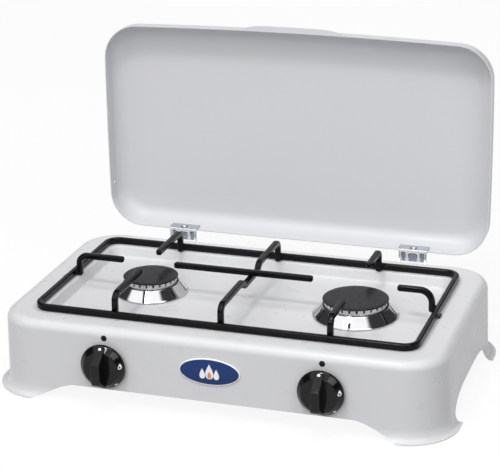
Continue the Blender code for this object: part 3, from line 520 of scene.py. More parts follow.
# Moulded gloss black thermoset with hairline scuffs.
PLASTIC = Finish("plastic_knob", (0.0035, 0.0035, 0.0038), 0.11, Specular_IOR_Level=0.28)
PLASTIC.edge_wear_and_highlight((0.54, 0.64), (0.016, 0.016, 0.017), 0.4)
PLASTIC.rough((340.0, 5.0, (1.0, 1.0, 0.25)), 0.08, 0.18)
PLASTIC.bump((620.0, 3.0), 0.00004, 0.20)
PLASTIC.bump((120.0, 2.0), 0.00015, 0.08)

# Screen-printed white.
WHITE_PRINT = Finish("print_white", (0.86, 0.86, 0.85), 0.42)
WHITE_PRINT.mottled((1700.0, 2.0), (0.55, 0.72), (0.66, 0.66, 0.66), 0.5)
WHITE_PRINT.bump((1500.0, 2.0), 0.00004, 0.4)

# Printed black: the dots over the knobs and the cores of their larger flames.
BLACK_PRINT = Finish("print_black", (0.004, 0.004, 0.0045), 0.40, Specular_IOR_Level=0.2)
BLACK_PRINT.mottled((1200.0, 2.0), (0.50, 0.72), (0.010, 0.010, 0.010), 0.6)
BLACK_PRINT.bump((1300.0, 2.0), 0.00004, 0.4)

# Gloss printed label, deeper blue towards its lower edge.
LABEL_BLUE = Finish("label_blue", (0.012, 0.040, 0.165), 0.22, Specular_IOR_Level=0.2)
LABEL_BLUE.tinted(LABEL_BLUE.spread(LABEL_BLUE.height(), 0.058, 0.040), (0.009, 0.030, 0.125), 0.8)
LABEL_BLUE.mottled((900.0, 2.0), (0.55, 0.72), (0.020, 0.056, 0.20), 0.3)
LABEL_BLUE.rough((400.0, 2.0), 0.20, 0.32)
LABEL_BLUE.bump((300.0, 2.0), 0.00006, 0.10)

# The label's small orange core.
LABEL_ORANGE = Finish("label_orange", (0.74, 0.23, 0.03), 0.28, Coat_Weight=0.5, Coat_Roughness=0.05)
LABEL_ORANGE.mottled((800.0, 2.0), (0.50, 0.72), (0.60, 0.15, 0.02), 0.5)

SIDES = (("left", -1), ("right", 1))


# ---- hob ----
def hob_body():
    """The hob pressing with its flared feet, rounded edge, shelf and sunk floor."""
    # half width, half depth, corner radius and height, from the feet up and then inwards
    stations = [(FOOT_W, FOOT_D, FOOT_R, SHEET)]
    flare, lift, deep_share, corner_share = 0.0064, 0.0120, 0.93, 0.9
    for i in range(9):
        angle = radians(90 * i / 8)
        out, up = flare * (1 - sin(angle)), lift * (1 - cos(angle))
        deep, corner = WALL_D + out * deep_share, WALL_R + out * corner_share
        stations.append((WALL_W + out, deep, corner, SHEET + up))
    stations.append(((WALL_W + TOP_W) / 2, (WALL_D + TOP_D) / 2, (WALL_R + TOP_R) / 2, 0.044))
    for i in range(11):
        angle = radians(90 * i / 10)
        inset = EDGE_R * (1 - cos(angle))
        height = HOB_Z - EDGE_R + EDGE_R * sin(angle)
        stations.append((TOP_W - inset, TOP_D - inset, TOP_R - inset, height))
    # offset from the pan frame's middle line, corner radius and height, from the rim inwards
    inner = [(0.0073, 0.0210, HOB_Z), (0.0038, 0.0175, LEDGE_Z), (-0.0070, 0.0120, LEDGE_Z)]
    inner += [(-0.0104, 0.0100, FLOOR_Z + 0.0010), (-0.0125, 0.0090, FLOOR_Z)]
    inner += [(-0.0300, 0.0040, FLOOR_Z)]
    inner = [(RAIL_X + out, RAIL_Y + out, radius, height) for out, radius, height in inner]
    stations += softened([stations[-1]] + inner, 0.0016, 4)[1:]
    rings = [[(x, y, z) for x, y in rounded_rectangle(w, d, r, 16)] for w, d, r, z in stations]
    shell = thickened(lofted("hob_body", rings, close_last=True), SHEET)

    below, steps = -0.02, 24
    half = [(ARCH_END, below), (ARCH_END, -0.001)]
    for i in range(1, steps + 1):
        part = i / steps
        x = ARCH_END + (ARCH_FLAT - ARCH_END) * part
        half.append((x, ARCH_Z * 0.5 * (1 - cos(pi * part))))
    cut(shell, prism("front_arch", half + [(-x, z) for x, z in reversed(half)], -0.2, 0.2, "Y"))
    side, steps = [(SIDE_ARCH_HALF, below)], 40
    for i in range(steps + 1):
        y = SIDE_ARCH_HALF * cos(pi * i / steps)
        share = abs(y) / SIDE_ARCH_HALF
        side.append((y, SIDE_ARCH_Z * sqrt(max(0.0, 1 - share**4)) - 0.0005))
    side.append((-SIDE_ARCH_HALF, below))
    cut(shell, prism("side_arch", side, -0.3, 0.3, "X"))
    hob_holes(shell)
    piece(shell, ENAMEL, "hob", ["body_shell"])


def hob_holes(shell):
    """Round holes for the burner necks, spindles, bracket screws and gas inlet."""
    neck_room, spindle_hole, inlet_hole = 0.0004, 0.0062, 0.0066
    floor, front_wall, back_wall = (0.06, 0.08), (-0.15, -0.13), (0.13, 0.15)
    for name, _ in SIDES:
        burner_at, knob_at = middle_of(f"{name}_burner_cap"), middle_of(f"{name}_knob")
        neck_hole = neck_radius(name) + neck_room
        drill(shell, (burner_at.x, burner_at.y), neck_hole, *floor, count=72)
        drill(shell, (knob_at.x, knob_at.z), spindle_hole, *front_wall, "Y", 36)
        for number in (1, 2):
            screw_at = middle_of(f"{name}_bracket_screw_{number}")
            drill(shell, (screw_at.x, screw_at.z), SHANK_R, *back_wall, "Y")
    inlet_at = middle_of("hose_inlet")
    drill(shell, (inlet_at.x, inlet_at.z), inlet_hole, *back_wall, "Y", 36)


def neck_radius(side):
    """Outer radius of a burner body's neck, from the ring nut round it."""
    nut_reach = 0.0052
    low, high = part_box(f"{side}_burner_nut")
    return (high.x - low.x) / 2 - nut_reach


def teardrop(size, centre=(0.0, 0.0), steps=24, lean=0.0):
    """A flame outline with its tip up, size tall."""
    points = []
    for i in range(steps):
        t = tau * i / steps
        across = 0.5 * size * sin(t) * sin(t / 2) ** 1.3 * 0.72
        up = 0.5 * size * cos(t)
        points.append((centre[0] + across + lean * (up / size + 0.5) ** 2, centre[1] + up))
    return points


def badge():
    """An oval label with a light border and three plain flames, the middle one cored."""
    low, high = hob_box("badge")
    half_w, half_h = (high.x - low.x) / 2, (high.z - low.z) / 2
    centre, middle = (low.x + high.x) / 2, (low.z + high.z) / 2
    back, front = high.y, low.y

    def oval(inset):
        turns = [tau * i / 72 for i in range(72)]
        return [(centre + (half_w - inset) * cos(t), middle + (half_h - inset) * sin(t)) for t in turns]

    def domed(name, levels):
        rings = [[(x, y, z) for x, z in oval(inset)] for inset, y in levels]
        return solid(name, rings)

    levels = [(0, back), (0, front + 0.0005), (0.0004, front + 0.0001), (0.0009, front)]
    border = domed("badge_border", levels)
    piece(border, WHITE_PRINT, "hob", ["badge"], sharp=50)
    face = front - 0.0002
    field = domed("badge_field", [(0.0012, front + 0.0004), (0.0012, front), (0.0016, face)])
    piece(field, LABEL_BLUE, "hob", sharp=50)
    tallest, shorter, apart = 0.0165, 0.0115, 0.0075
    for number, (shift, tall) in enumerate(((-apart, shorter), (0.0, tallest), (apart, shorter)), 1):
        base = middle + 0.0006 - (tallest - tall) / 2
        outline = teardrop(tall, (centre + shift, base), 40)
        flame = prism(f"badge_flame_{number}", outline, face - 0.0001, face + 0.0001, "Y")
        piece(flame, WHITE_PRINT, "hob")
    core = teardrop(0.0078, (centre, middle - 0.0030), 32)
    piece(prism("badge_flame_core", core, face - 0.00018, face, "Y"), LABEL_ORANGE, "hob")


def index_dots():
    """The black dot printed on the hob above each knob."""
    radius, height, front = 0.0032, 0.0745, TOP_D + (WALL_D - TOP_D) * 0.02
    for name, _ in SIDES:
        centre = (middle_of(f"{name}_knob").x + 0.0002, height)
        rings = []
        for share, out in ((1.0, 0.0004), (1.0, -0.00005), (0.93, -0.00012)):
            outline = circle(centre, radius * share, 36)
            rings.append([(x, -front + out, z) for x, z in outline])
        dot = solid(f"{name}_index_dot", rings)
        piece(dot, BLACK_PRINT, "hob")


# ---- burners ----
SLOTS = {"left": (24, 0.72), "right": (27, 0.5)}  # how many slots, and the first one's turn


def burner(side):
    """A slotted crown, the polished cone ring round it and the flat cap on it."""
    at = middle_of(f"{side}_burner_cap")
    at.z = 0
    low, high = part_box(f"{side}_burner_crown")
    crown, crown_top = (high.x - low.x) / 2, high.z
    skirt = low.z + 0.0050
    inner = neck_radius(side) - 0.0024
    profile = [(crown, crown_top), (crown, skirt), (inner - GAP, skirt), (inner - GAP, low.z)]
    profile += [(inner - 0.0024, low.z), (inner - 0.0024, crown_top)]
    profile = softened(profile, 0.0004, 2, closed=True)
    count, phase = SLOTS[side]
    head = turned(f"{side}_crown", profile, count * 4, ring=True)
    reach, wide, deep = crown - inner + 0.006, 0.0019, 0.0033
    bm = bmesh.new()
    place = Matrix.Translation((crown - reach / 2 + 0.002, 0, crown_top))
    stretch = Matrix.Diagonal((reach, wide, 2 * deep, 1))
    for i in range(count):
        turn = Matrix.Rotation(tau * (i + phase) / count, 4, "Z")
        bmesh.ops.create_cube(bm, size=1.0, matrix=turn @ place @ stretch)
    cut(head, mesh_object("slots", bm))
    piece(head, ALUMINIUM, "hob", [f"{side}_burner_crown"], 35, at=at)

    low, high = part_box(f"{side}_burner_ring")
    outer, base, top = (high.x - low.x) / 2, low.z, high.z
    thick = 0.0009
    profile = [(crown + 0.0022, top), (outer - 0.0012, base + 0.0022)]
    profile += [(outer - 0.0002, base + 0.0016), (outer, base + 0.0008), (outer, base)]
    profile += [(outer - thick, base), (outer - 0.0024, base + 0.0014)]
    profile += [(crown + 0.0022 - thick, top - thick * 0.4)]
    profile = softened(profile, 0.0006, 4, closed=True)
    dish = turned(f"{side}_ring", profile, 144, ring=True)
    piece(dish, CHROME, "hob", [f"{side}_burner_ring"], 60, at=at)

    low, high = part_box(f"{side}_burner_cap")
    radius, top, under = (high.x - low.x) / 2, high.z, low.z
    profile = [(0, top), (radius * 0.45, top - 0.00003), (radius - 0.0050, top - 0.0001)]
    profile += [(radius - 0.0008, top - 0.0004), (radius, top - 0.0009)]
    profile += [(radius, under + 0.0003), (radius - 0.0004, under), (inner - 0.0030, under)]
    profile += [(inner - 0.0038, under + 0.0006), (0, under + 0.0006)]
    profile = softened(profile, 0.0004, 4)
    cap = turned(f"{side}_cap", profile, 128)
    piece(cap, CAP, f"{side}_cap", [f"{side}_burner_cap"], 50, at=at)


# ---- pan support ----
BAR_END = 0.0022  # length over which a bar's end is rounded off


def pan_support():
    """Enamelled bars with soft edges, and the weld beads that hold the fingers to the frame."""
    body, slot = "pan_support", "black_enamel"
    rail_outline = rounded_rectangle(RAIL_T / 2, RAIL_H / 2, 0.0019, 4)
    bar_outline = rounded_rectangle(BAR / 2, BAR / 2, 0.0017, 4)
    corner = 0.014
    path = [(x, y, RAIL_Z) for x, y in rounded_rectangle(RAIL_X, RAIL_Y, corner, 12)]
    rail = swept("pan_frame", path, [(b, a) for a, b in rail_outline], (0, 0, 1), closed=True)
    piece(rail, BLACK, body, ["support_rail", "left_support_lug", "right_support_lug"], 60)

    inside = RAIL_T / 2 + GAP + BAR / 2
    leg_x, leg_y = RAIL_X - inside, RAIL_Y - inside
    bar_x = {sign: middle_of(f"front_{name}_finger").x for name, sign in SIDES}
    foot = rail_low.z
    beads = []

    def bent(name, leg, tip, radius):
        """A finger: up from the frame at its leg, round a bend and on to its tip."""
        leg, tip = Vector((*leg, 0)), Vector((*tip, 0))
        inward = (tip - leg).normalized()
        points = [leg + Vector((0, 0, foot))]
        for along, up in arc((radius, FINGER_Z - radius), radius, 180, 90, 12):
            points.append(leg + inward * along + Vector((0, 0, up)))
        points.append(tip + Vector((0, 0, FINGER_Z)))
        side = inward.cross(Vector((0, 0, 1)))
        bar = swept(name, points, bar_outline, side, round_end=BAR_END)
        beads.append((leg, inward))
        return bar

    bend = 0.0080
    fingers = {"left_finger": ((-leg_x, 0), 0.0090), "right_finger": ((leg_x, 0), 0.0130)}
    for name, sign in SIDES:
        for place, end in (("front", -1), ("back", 1)):
            fingers[f"{place}_{name}_finger"] = ((bar_x[sign], end * leg_y), bend)
    for node, (leg, radius) in fingers.items():
        low, high = hob_box(node)
        if leg[1]:
            tip = (leg[0], high.y if leg[1] < 0 else low.y)
        else:
            tip = (high.x if leg[0] < 0 else low.x, 0)
        piece(bent(f"pan_{node}", leg, tip, radius), BLACK, body, [node], 60)

    ends = [(cross_low.x, 0, FINGER_Z), (cross_high.x, 0, FINGER_Z)]
    bar = swept("pan_cross_bar", ends, bar_outline, (0, 1, 0), round_end=BAR_END)
    piece(bar, BLACK, body, ["cross_bar"], 60)

    dip_z = FINGER_Z - BAR - GAP
    half = [(leg_y, foot)]
    half += [(leg_y - along, up) for along, up in arc((bend, FINGER_Z - bend), bend, 180, 90, 12)]
    dip = [(0.040, FINGER_Z), (0.0300, FINGER_Z), (0.0240, dip_z), (0.010, dip_z)]
    half += softened(dip, 0.004, 5)[1:]
    path = [(0, -y, z) for y, z in half] + [(0, y, z) for y, z in reversed(half)]
    bar = swept("pan_middle_bar", path, bar_outline, (1, 0, 0), round_end=BAR_END)
    piece(bar, BLACK, body, ["middle_bar"], 60)
    for sign in (-1, 1):
        beads.append((Vector((0, sign * leg_y, 0)), Vector((0, -sign, 0))))

    bead_r, bead_half, lap, rise = 0.0017, 0.0030, 0.0002, 0.0002
    for number, (leg, inward) in enumerate(beads, 1):
        across = inward.cross(Vector((0, 0, 1)))
        for which, sign in (("a", -1), ("b", 1)):
            at = leg - inward * (BAR / 2) + across * sign * (BAR / 2 - lap)
            at.z = RAIL_Z + rise
            bm = bmesh.new()
            bmesh.ops.create_icosphere(bm, subdivisions=3, radius=1.0)
            for vert in bm.verts:
                x, y, z = vert.co
                wobble = 1 + 0.10 * sin(9 * z + number) * cos(5 * x + number)
                vert.co = Vector((x * bead_r, y * bead_r, z * bead_half)) * wobble
            bead = mesh_object(f"pan_weld_{number}{which}", bm)
            piece(bead, BLACK, body, sharp=80, weighted=False, at=at)

    for name, sign in SIDES:
        low, high = hob_box(f"{name}_support_lug")
        bm = bmesh.new()
        bmesh.ops.create_cube(bm, size=1.0)
        bmesh.ops.scale(bm, vec=high - low, verts=bm.verts)
        bmesh.ops.translate(bm, vec=(low + high) / 2, verts=bm.verts)
        lug = bevelled(mesh_object(f"pan_lug_{name}", bm), 0.0008, 3)
        piece(lug, BLACK, body, sharp=60)


# ---- lid ----
def lid_outline(inset):
    """The lid's slightly bowed outline in X and Z, at one inset from its rim."""
    half_w, height, radius = LID_W / 2 - inset, LID_D - 2 * inset, LID_R - inset
    points = []
    corners = ((1, 1, 0), (-1, 1, 90), (-1, -1, 180), (1, -1, 270))
    for n, (sx, sz, start) in enumerate(corners):
        centre = (sx * (half_w - radius), height / 2 + sz * (height / 2 - radius))
        points += arc(centre, radius, start, start + 90, 16)
        reach = half_w - radius
        if n in (0, 2):
            level = height if n == 0 else 0
            points += [(sx * reach * (1 - 2 * i / 24), level) for i in range(1, 24)]
        else:
            tall = height / 2 - radius
            order = range(1, 8) if n == 1 else range(7, 0, -1)
            points += [(sx * half_w, height / 2 + tall * (1 - 2 * i / 8)) for i in order]
    bowed = []
    for x, z in points:
        side = LID_SIDE_BOW * (1 - (2 * z / height - 1) ** 2) * (x / half_w)
        front = LID_BOW * (1 - (x / half_w) ** 2) * max(0.0, 2 * z / height - 1)
        bowed.append((x + side, LID_RIM_Z + inset + z + front))
    return bowed


def lid():
    """The lid's tray, with its finger lip, side holes and rivet holes."""
    stations = [(0.0, 0.0), (0.0003, LID_DEPTH - LID_ROUND)]
    for i in range(1, 13):
        turn = radians(90 * i / 12)
        inset = 0.0003 + LID_ROUND * (1 - cos(turn))
        stations.append((inset, LID_DEPTH - LID_ROUND + LID_ROUND * sin(turn)))
    stations.append((0.030, LID_DEPTH))
    rings = [[(x, LID_RIM_Y + depth, z) for x, z in lid_outline(inset)] for inset, depth in stations]
    shell = thickened(lofted("lid_tray", rings, close_last=True), LID_SHEET)

    reach, rise, steps = 0.060, 0.0056, 48
    top = LID_RIM_Z + LID_D
    edge = []
    for i in range(steps + 1):
        x = reach - 2 * reach * i / steps
        bow = LID_BOW * (1 - (2 * x / LID_W) ** 2)
        edge.append((x, top + bow, 1 - (x / reach) ** 6))
    upper = [(x, z + rise * share) for x, z, share in edge]
    lower = [(x, z - LID_SHEET * 0.7) for x, z, _ in reversed(edge)]
    lip = prism("finger_lip", upper + lower, LID_RIM_Y, LID_RIM_Y + LID_SHEET, "Y")
    weld(shell, lip)

    side_hole, side_hole_at = 0.0020, (LID_RIM_Y + 0.0105, 0.135)
    drill(shell, side_hole_at, side_hole, -0.24, 0.24, "X")
    for side, _ in SIDES:
        rivet_at = middle_of(f"{side}_leaf_rivet")
        drill(shell, (rivet_at.x, rivet_at.y), SHANK_R, 0.080, 0.095)
    piece(shell, LID_ENAMEL, "lid", ["lid_shell"])


# ---- knobs ----
HUB_R, HUB_Y, FLANK_R, FLANK_Y = 0.0188, 0.1514, 0.0239, 0.1460


def flank_print(name, outline, angle, radius, out):
    """A print on the sloping flank: its outline is (outward, round the knob) from its centre."""
    fall = (HUB_Y - FLANK_Y) / (FLANK_R - HUB_R)
    bm = bmesh.new()
    rows = []
    for lift in (-0.0003, out):
        row = []
        for a, b in outline:
            reach, turn = radius + a, angle + b / radius
            height = HUB_Y - fall * (reach - HUB_R) + lift * 1.4
            row.append(bm.verts.new((reach * cos(turn), -height, reach * sin(turn))))
        rows.append(row)
    count = len(outline)
    for i in range(count):
        j = (i + 1) % count
        bm.faces.new((rows[0][i], rows[0][j], rows[1][j], rows[1][i]))
    for row in rows:
        middle = sum((vert.co for vert in row), Vector()) / count
        hub = bm.verts.new(middle)
        for i in range(count):
            bm.faces.new((row[i], row[(i + 1) % count], hub))
    return mesh_object(name, bm)


def knob(side):
    """A frustum with a rim, a grip across its face, and the printed dot and flame marks."""
    body = f"{side}_knob_turn_body"
    x = middle_of(f"{side}_knob").x
    back = 0.1425
    profile = [(0, HUB_Y + 0.0002), (0.0120, HUB_Y + 0.00015), (HUB_R, HUB_Y), (FLANK_R, FLANK_Y)]
    profile += [(KNOB_R - 0.0002, 0.1452), (KNOB_R, 0.1442), (KNOB_R, 0.1431)]
    profile += [(KNOB_R - 0.0005, back), (0.0226, back), (0.0222, 0.1436), (0.0075, 0.1436)]
    profile += [(0.0070, back), (0.0060, back), (0.0056, 0.1400), (0.0034, 0.1400)]
    profile += [(0.0033, 0.1480), (0, 0.1480)]
    profile = softened(profile, 0.0008, 4)
    base = turned(f"{side}_knob_cap", profile, 120)
    base.data.transform(Matrix.Rotation(pi / 2, 4, "X"))

    foot, front = 0.1445, 0.1660
    ridge = [(-foot, 0.0228), (-foot, -0.0215), (-0.1505, -0.0212), (-0.1620, -0.0152)]
    ridge += [(-0.1652, -0.0122), (-front, -0.0095), (-front, 0.0088), (-0.1652, 0.0104)]
    ridge += [(-0.1488, 0.0228)]

    def half_width(y):
        """The grip is wider at its foot than at its front."""
        return 0.0051 - 0.0004 * (abs(y) - foot) / (front - foot)

    rings = []
    for end in (-1, 1):
        rings.append([(end * half_width(y), y, z) for y, z in ridge])
    grip = bevelled(solid("grip", rings), 0.0009, 4)
    weld(base, grip)
    where = Vector((x, 0, KNOB_Z))
    piece(base, PLASTIC, body, [f"{side}_knob"], 32, at=where)

    facing = Vector((0, -0.86, 0.51)).normalized()
    dot_at = Vector((0, -0.1499, 0.0216))
    across, along = Vector((1, 0, 0)), facing.cross(Vector((1, 0, 0)))
    rings = []
    for radius, out in ((0.0019, -0.0010), (0.0019, 0.0001), (0.0016, 0.0005), (0.0009, 0.0008)):
        spots = circle((0, 0), radius, 36)
        rings.append([dot_at + across * a + along * b + facing * out for a, b in spots])
    dot = solid(f"{side}_knob_dot", rings)
    piece(dot, WHITE_PRINT, body, sharp=60, at=where)

    flames = ((13, 0.0212, 0.0060), (-46, 0.0226, 0.0036))  # degrees, distance out, size
    for number, (angle, radius, size) in enumerate(flames, 1):
        name = f"{side}_knob_flame_{number}"
        outline = teardrop(size, (0, 0), 28, lean=size * 0.15)
        flame = flank_print(name, outline, radians(angle), radius, 0.00012)
        piece(flame, WHITE_PRINT, body, sharp=60, at=where)
        if number == 1:
            outline = teardrop(size * 0.42, (0, -size * 0.12), 20)
            core = flank_print(f"{name}_core", outline, radians(angle), radius, 0.0002)
            piece(core, BLACK_PRINT, body, sharp=60, at=where)


# ---- hinges ----
WEB_Y, WEB_LOW, WEB_T, TIN = 0.1598, 0.0750, 0.0009, 0.0012
# middle, half width and top of each flute in the leaf's web
FLUTES = ((-0.0108, 0.0030, 0.0857), (0, 0.0057, 0.0848), (0.0108, 0.0030, 0.0857))


def pressed(px, pz):
    """How far the web is pressed in at one place: flutes between ribs, arched at their tops."""
    slope, press = 0.0009, 0.0
    for middle, half, top in FLUTES:
        spread = half - slope * max(0.0, (0.0790 - pz) / 0.004)
        aside = abs(px - middle) / spread
        if aside < 1:
            arch = top - 0.0016 * aside**4
            down = min(1.0, max(0.0, (arch - pz) / 0.0007))
            press = max(press, min(1.0, (1 - aside) * spread / slope) * down)
    return press * press * (3 - 2 * press)


def fluted_web(name, web_top):
    """The leaf's web, with ribs that stand proud between its flutes."""
    half, columns, rows = 0.0161, 120, 44
    bm = bmesh.new()
    sheets = []
    for front in (True, False):
        grid = []
        for k in range(rows + 1):
            pz = WEB_LOW + (web_top - WEB_LOW) * k / rows
            line = []
            for i in range(columns + 1):
                px = -half + 2 * half * i / columns
                press = pressed(px, pz)
                depth = 0.0024 * press if front else max(0.0011, 0.0028 * press)
                line.append(bm.verts.new((px, WEB_Y + depth, pz)))
            grid.append(line)
        sheets.append(grid)
    for grid in sheets:
        for k in range(rows):
            for i in range(columns):
                bm.faces.new((grid[k][i], grid[k][i + 1], grid[k + 1][i + 1], grid[k + 1][i]))
    edge = [(0, i) for i in range(columns)] + [(k, columns) for k in range(rows)]
    edge += [(rows, i) for i in range(columns, 0, -1)] + [(k, 0) for k in range(rows, 0, -1)]
    fore, aft = sheets
    for (k, i), (m, n) in zip(edge, edge[1:] + edge[:1]):
        bm.faces.new((fore[k][i], fore[m][n], aft[m][n], aft[k][i]))
    return mesh_object(name, bm)


def tongue(middle, half, top):
    """The floor of one flute: a low domed plate with an arched top."""
    arch = 0.0012
    rings = []
    for inset, out in ((0.0010, 0.0021), (0.0010, 0.0013), (0.0013, 0.0008), (0.0020, 0.0006)):
        wide, high = half - inset, top - inset * 1.3
        shape = [(-wide, WEB_LOW), (wide, WEB_LOW)]
        for n in range(17):
            turn = pi * n / 16
            shape.append((wide * cos(turn), high - arch + arch * sin(turn)))
        rings.append([(middle + px, WEB_Y + out, pz) for px, pz in shape])
    return solid("tongue", rings)


def hinge_leaf(side):
    """Stamped leaf: a plate in the lid, a hood over a fluted web and two curled arms."""
    low, high = hob_box(f"{side}_hinge_leaf")
    at = ((low.x + high.x) / 2, 0, 0)
    pin_at = middle_of(f"{side}_hinge_pin")
    axis = (pin_at.y, pin_at.z)
    rivet_y = middle_of(f"{side}_leaf_rivet").y
    plate_top = high.z
    rear = plate_top - TIN
    half_plate = (high.y - WEB_Y) / 2
    plate_x, recess_x, hood_x, arm_x = 0.0172, 0.0155, 0.0165, 0.0158

    outline = rounded_rectangle(plate_x, half_plate, 0.0020, 8)
    outline = [(px, py + WEB_Y + half_plate) for px, py in outline]
    leaf = bevelled(prism(f"{side}_leaf", outline, rear, plate_top), 0.0003, 3)
    # A dark panel behind the flutes: painted shade.
    outline = rounded_rectangle(recess_x, 0.00045, 0.0002, 2)
    recess = prism(f"{side}_leaf_shade_panel", outline, WEB_LOW, rear + 0.0003)
    recess.data.transform(Matrix.Translation((0, WEB_Y + 0.00215, 0)))
    piece(recess, PAINTED_SHADE, "lid", sharp=50, at=at)

    # The ribs and hood take the lighter copy of the zinc: painted highlight.
    ribs = fluted_web(f"{side}_leaf_ribs", plate_top - 0.0004)
    for flute in FLUTES:
        weld(leaf, tongue(*flute))
    hood_y, hood_r = WEB_Y + 0.0013, 0.0017
    hood = arc((hood_y, plate_top - 0.0018), hood_r, 80, 180, 14)
    hood += arc((hood_y, plate_top - 0.0026), hood_r, 180, 270, 8)
    hood += [(WEB_Y + 0.0021, plate_top - 0.0040), (WEB_Y + 0.0021, plate_top - 0.0003)]
    weld(ribs, prism("hood", hood, -hood_x, hood_x, "X"))
    piece(ribs, ZINC_PAINTED_LIT, "lid", sharp=50, weighted=False, at=at)

    web_back, curl_top = WEB_Y + WEB_T, LID_RIM_Z - 0.0006
    corner = (axis[0] + HOB_Z - EDGE_R - axis[1], axis[1] + axis[0] - (TOP_D - EDGE_R))
    arm = arc(axis, 0.0026, 90, 270, 20)
    arm += arc((0.1530, 0.0764), 0.0110, 270, 360, 14)
    arm += [(0.1640, curl_top), (web_back, curl_top), (web_back, plate_top), (WEB_Y, plate_top)]
    arm += arc(corner, EDGE_R + 0.0005, 0, -90, 16)
    for end in (-1, 1):
        inner, outer = sorted((end * (arm_x - TIN), end * arm_x))
        side_arm = prism("arm", arm, inner, outer, "X")
        drill(side_arm, axis, 0.00145, -0.02, 0.02, "X")
        weld(leaf, side_arm)
    drill(leaf, (0, rivet_y), SHANK_R, rear - 0.001, plate_top + 0.001)
    piece(leaf, ZINC, "lid", [f"{side}_hinge_leaf"], 35, at=at)

    # A dark ring round the rivet head: painted shadow.
    low, high = hob_box(f"{side}_leaf_rivet")
    rim, face = (high.x - low.x) / 2 + 0.0009, plate_top + 0.00012
    profile = [(rim, rear), (rim, face), (SHANK_R, face), (SHANK_R, rear)]
    painted_shadow_ring = turned(f"{side}_rivet_shadow", profile, 40, ring=True)
    piece(painted_shadow_ring, PAINTED_SHADE, "lid", at=(at[0], rivet_y, 0))


# ---- CAD nodes that stay, with their materials ----
KEPT = {
    "zinc": ZINC,
    "steel": STEEL,
    "brass": BRASS,
    "cast_aluminium": ALUMINIUM,
    "cap_enamel": CAP,
    "chrome": CHROME,
    "black_enamel": BLACK,
    "white_enamel": ENAMEL,
    "knob_plastic": PLASTIC,
    "badge": LABEL_BLUE,
}


def kept_nodes():
    """Give each carried-over CAD node its procedural finish and a small edge radius."""
    slots = {row["node"]: row["material_slot"] for row in frame["record"]["subparts"]}
    for name, node in frame["nodes"].items():
        node.data.materials.clear()
        node.data.materials.append(KEPT[slots[name]].material)
        if node.hide_render:
            continue
        joined = node.modifiers.new("joined", "WELD")
        joined.merge_threshold = 0.000002
        edges = node.modifiers.new("edges", "BEVEL")
        edges.width = 0.00015
        edges.segments = 2
        edges.limit_method = "ANGLE"
        edges.angle_limit = radians(40)


# ---- studio ----
def floor():
    """Pale paper, lit from within so that shadows on it stay faint."""
    bm = bmesh.new()
    bmesh.ops.create_grid(bm, x_segments=24, y_segments=24, size=9.0)
    bmesh.ops.translate(bm, vec=(0, 0, -0.0002), verts=bm.verts)
    obj = mesh_object("studio_floor", bm)
    made = Finish("studio_paper", (0.10, 0.10, 0.10), 0.9, Specular_IOR_Level=0.0)
    made.mottled((3.0, 2.0), (0.3, 0.7), (0.095, 0.095, 0.095), 1.0)
    made.set("Emission Color", (1.0, 1.0, 1.0, 1.0))
    made.set("Emission Strength", 0.89)
    obj.data.materials.append(made.material)
    obj.visible_diffuse = False


def toward(heading, rise):
    """Direction by heading, clockwise from the front seen from above, and rise over the table."""
    heading, rise = radians(heading), radians(rise)
    return Vector((-sin(heading) * cos(rise), -cos(heading) * cos(rise), sin(rise)))


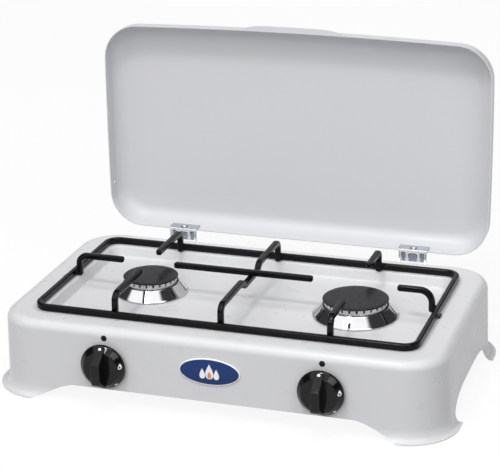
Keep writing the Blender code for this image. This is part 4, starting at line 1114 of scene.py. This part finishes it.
def world():
    """A dark room over a pale table, with a bright panel high in front, a little to the left."""
    made = bpy.data.worlds.new("studio")
    bpy.context.scene.world = made
    made.use_nodes = True
    tree = Nodes(made.node_tree)
    spot = tree.add("ShaderNodeTexCoord").outputs["Generated"]
    height = tree.add("ShaderNodeSeparateXYZ", {"Vector": spot}).outputs["Z"]
    ramp = tree.add("ShaderNodeValToRGB", {"Fac": height})
    stops = ((0.0, 0.50), (0.10, 0.34), (0.24, 0.05), (1.0, 0.05))  # height, brightness
    while len(ramp.color_ramp.elements) < len(stops):
        ramp.color_ramp.elements.new(0.5)
    for element, (place, value) in zip(ramp.color_ramp.elements, stops):
        element.position = place
        element.color = (value * 0.985, value * 0.99, value, 1.0)
    links = {0: spot, 1: toward(heading=18, rise=60)}
    near = tree.add("ShaderNodeVectorMath", links, operation="DOT_PRODUCT").outputs["Value"]
    edge_low, edge_high, bright = 0.72, 0.80, 1.36
    links = {0: near, 1: edge_low, 2: edge_high, 3: 0.0, 4: bright}
    panel = tree.add("ShaderNodeMapRange", links, clamp=True).outputs["Result"]
    links = {0: ramp.outputs["Color"], 1: panel}
    both = tree.add("ShaderNodeVectorMath", links, operation="ADD").outputs["Vector"]
    sky = made.node_tree.nodes["Background"]
    made.node_tree.links.new(both, sky.inputs["Color"])
    sky.inputs["Strength"].default_value = 1.0


def softbox(name, share, size, heading, rise, distance=2.2):
    """A soft rectangle that gives a share of full daylight to a surface square to it."""
    light = bpy.data.lights.new(name, "AREA")
    light.shape = "RECTANGLE"
    light.size, light.size_y = size
    light.energy = share * (pi * distance) ** 2
    obj = bpy.data.objects.new(name, light)
    bpy.context.scene.collection.objects.link(obj)
    away = toward(heading, rise)
    obj.location = Vector((0, 0, 0.08)) + away * distance
    obj.rotation_euler = away.to_track_quat("Z", "Y").to_euler()
    obj.visible_camera = False


def studio():
    floor()
    world()
    softbox("key", 0.25, (0.32, 0.32), 12, 62)
    softbox("over", 0.16, (0.8, 0.8), -90, 80)
    softbox("right", 0.19, (0.9, 0.9), -50, 38)
    softbox("front", 0.16, (1.2, 0.8), 0, 30)
    softbox("rear", 0.06, (1.6, 1.0), 168, 22)


def camera():
    """A long lens, above and to the right of the stove's front."""
    data = bpy.data.cameras.new("camera")
    data.sensor_width, data.lens = 36.0, 129.9
    data.clip_start, data.clip_end = 0.05, 60.0
    obj = bpy.data.objects.new("camera", data)
    bpy.context.scene.collection.objects.link(obj)
    yaw, down, roll = radians(18.351), radians(20.061), radians(-1.025)
    turn = Matrix.Rotation(yaw, 4, "Z") @ Matrix.Rotation(pi / 2 - down, 4, "X")
    turn = turn @ Matrix.Rotation(roll, 4, "Z")
    place = Matrix.Translation((0.5673, -1.7095 + HOB_Y, 0.8077))
    obj.matrix_world = place @ turn
    bpy.context.scene.camera = obj


# ---- build ----
camera()
hob_body()
badge()
index_dots()
for half, _ in SIDES:
    burner(half)
    knob(half)
    hinge_leaf(half)
pan_support()
lid()
kept_nodes()
studio()
bpy.context.scene.view_settings.view_transform = "Standard"
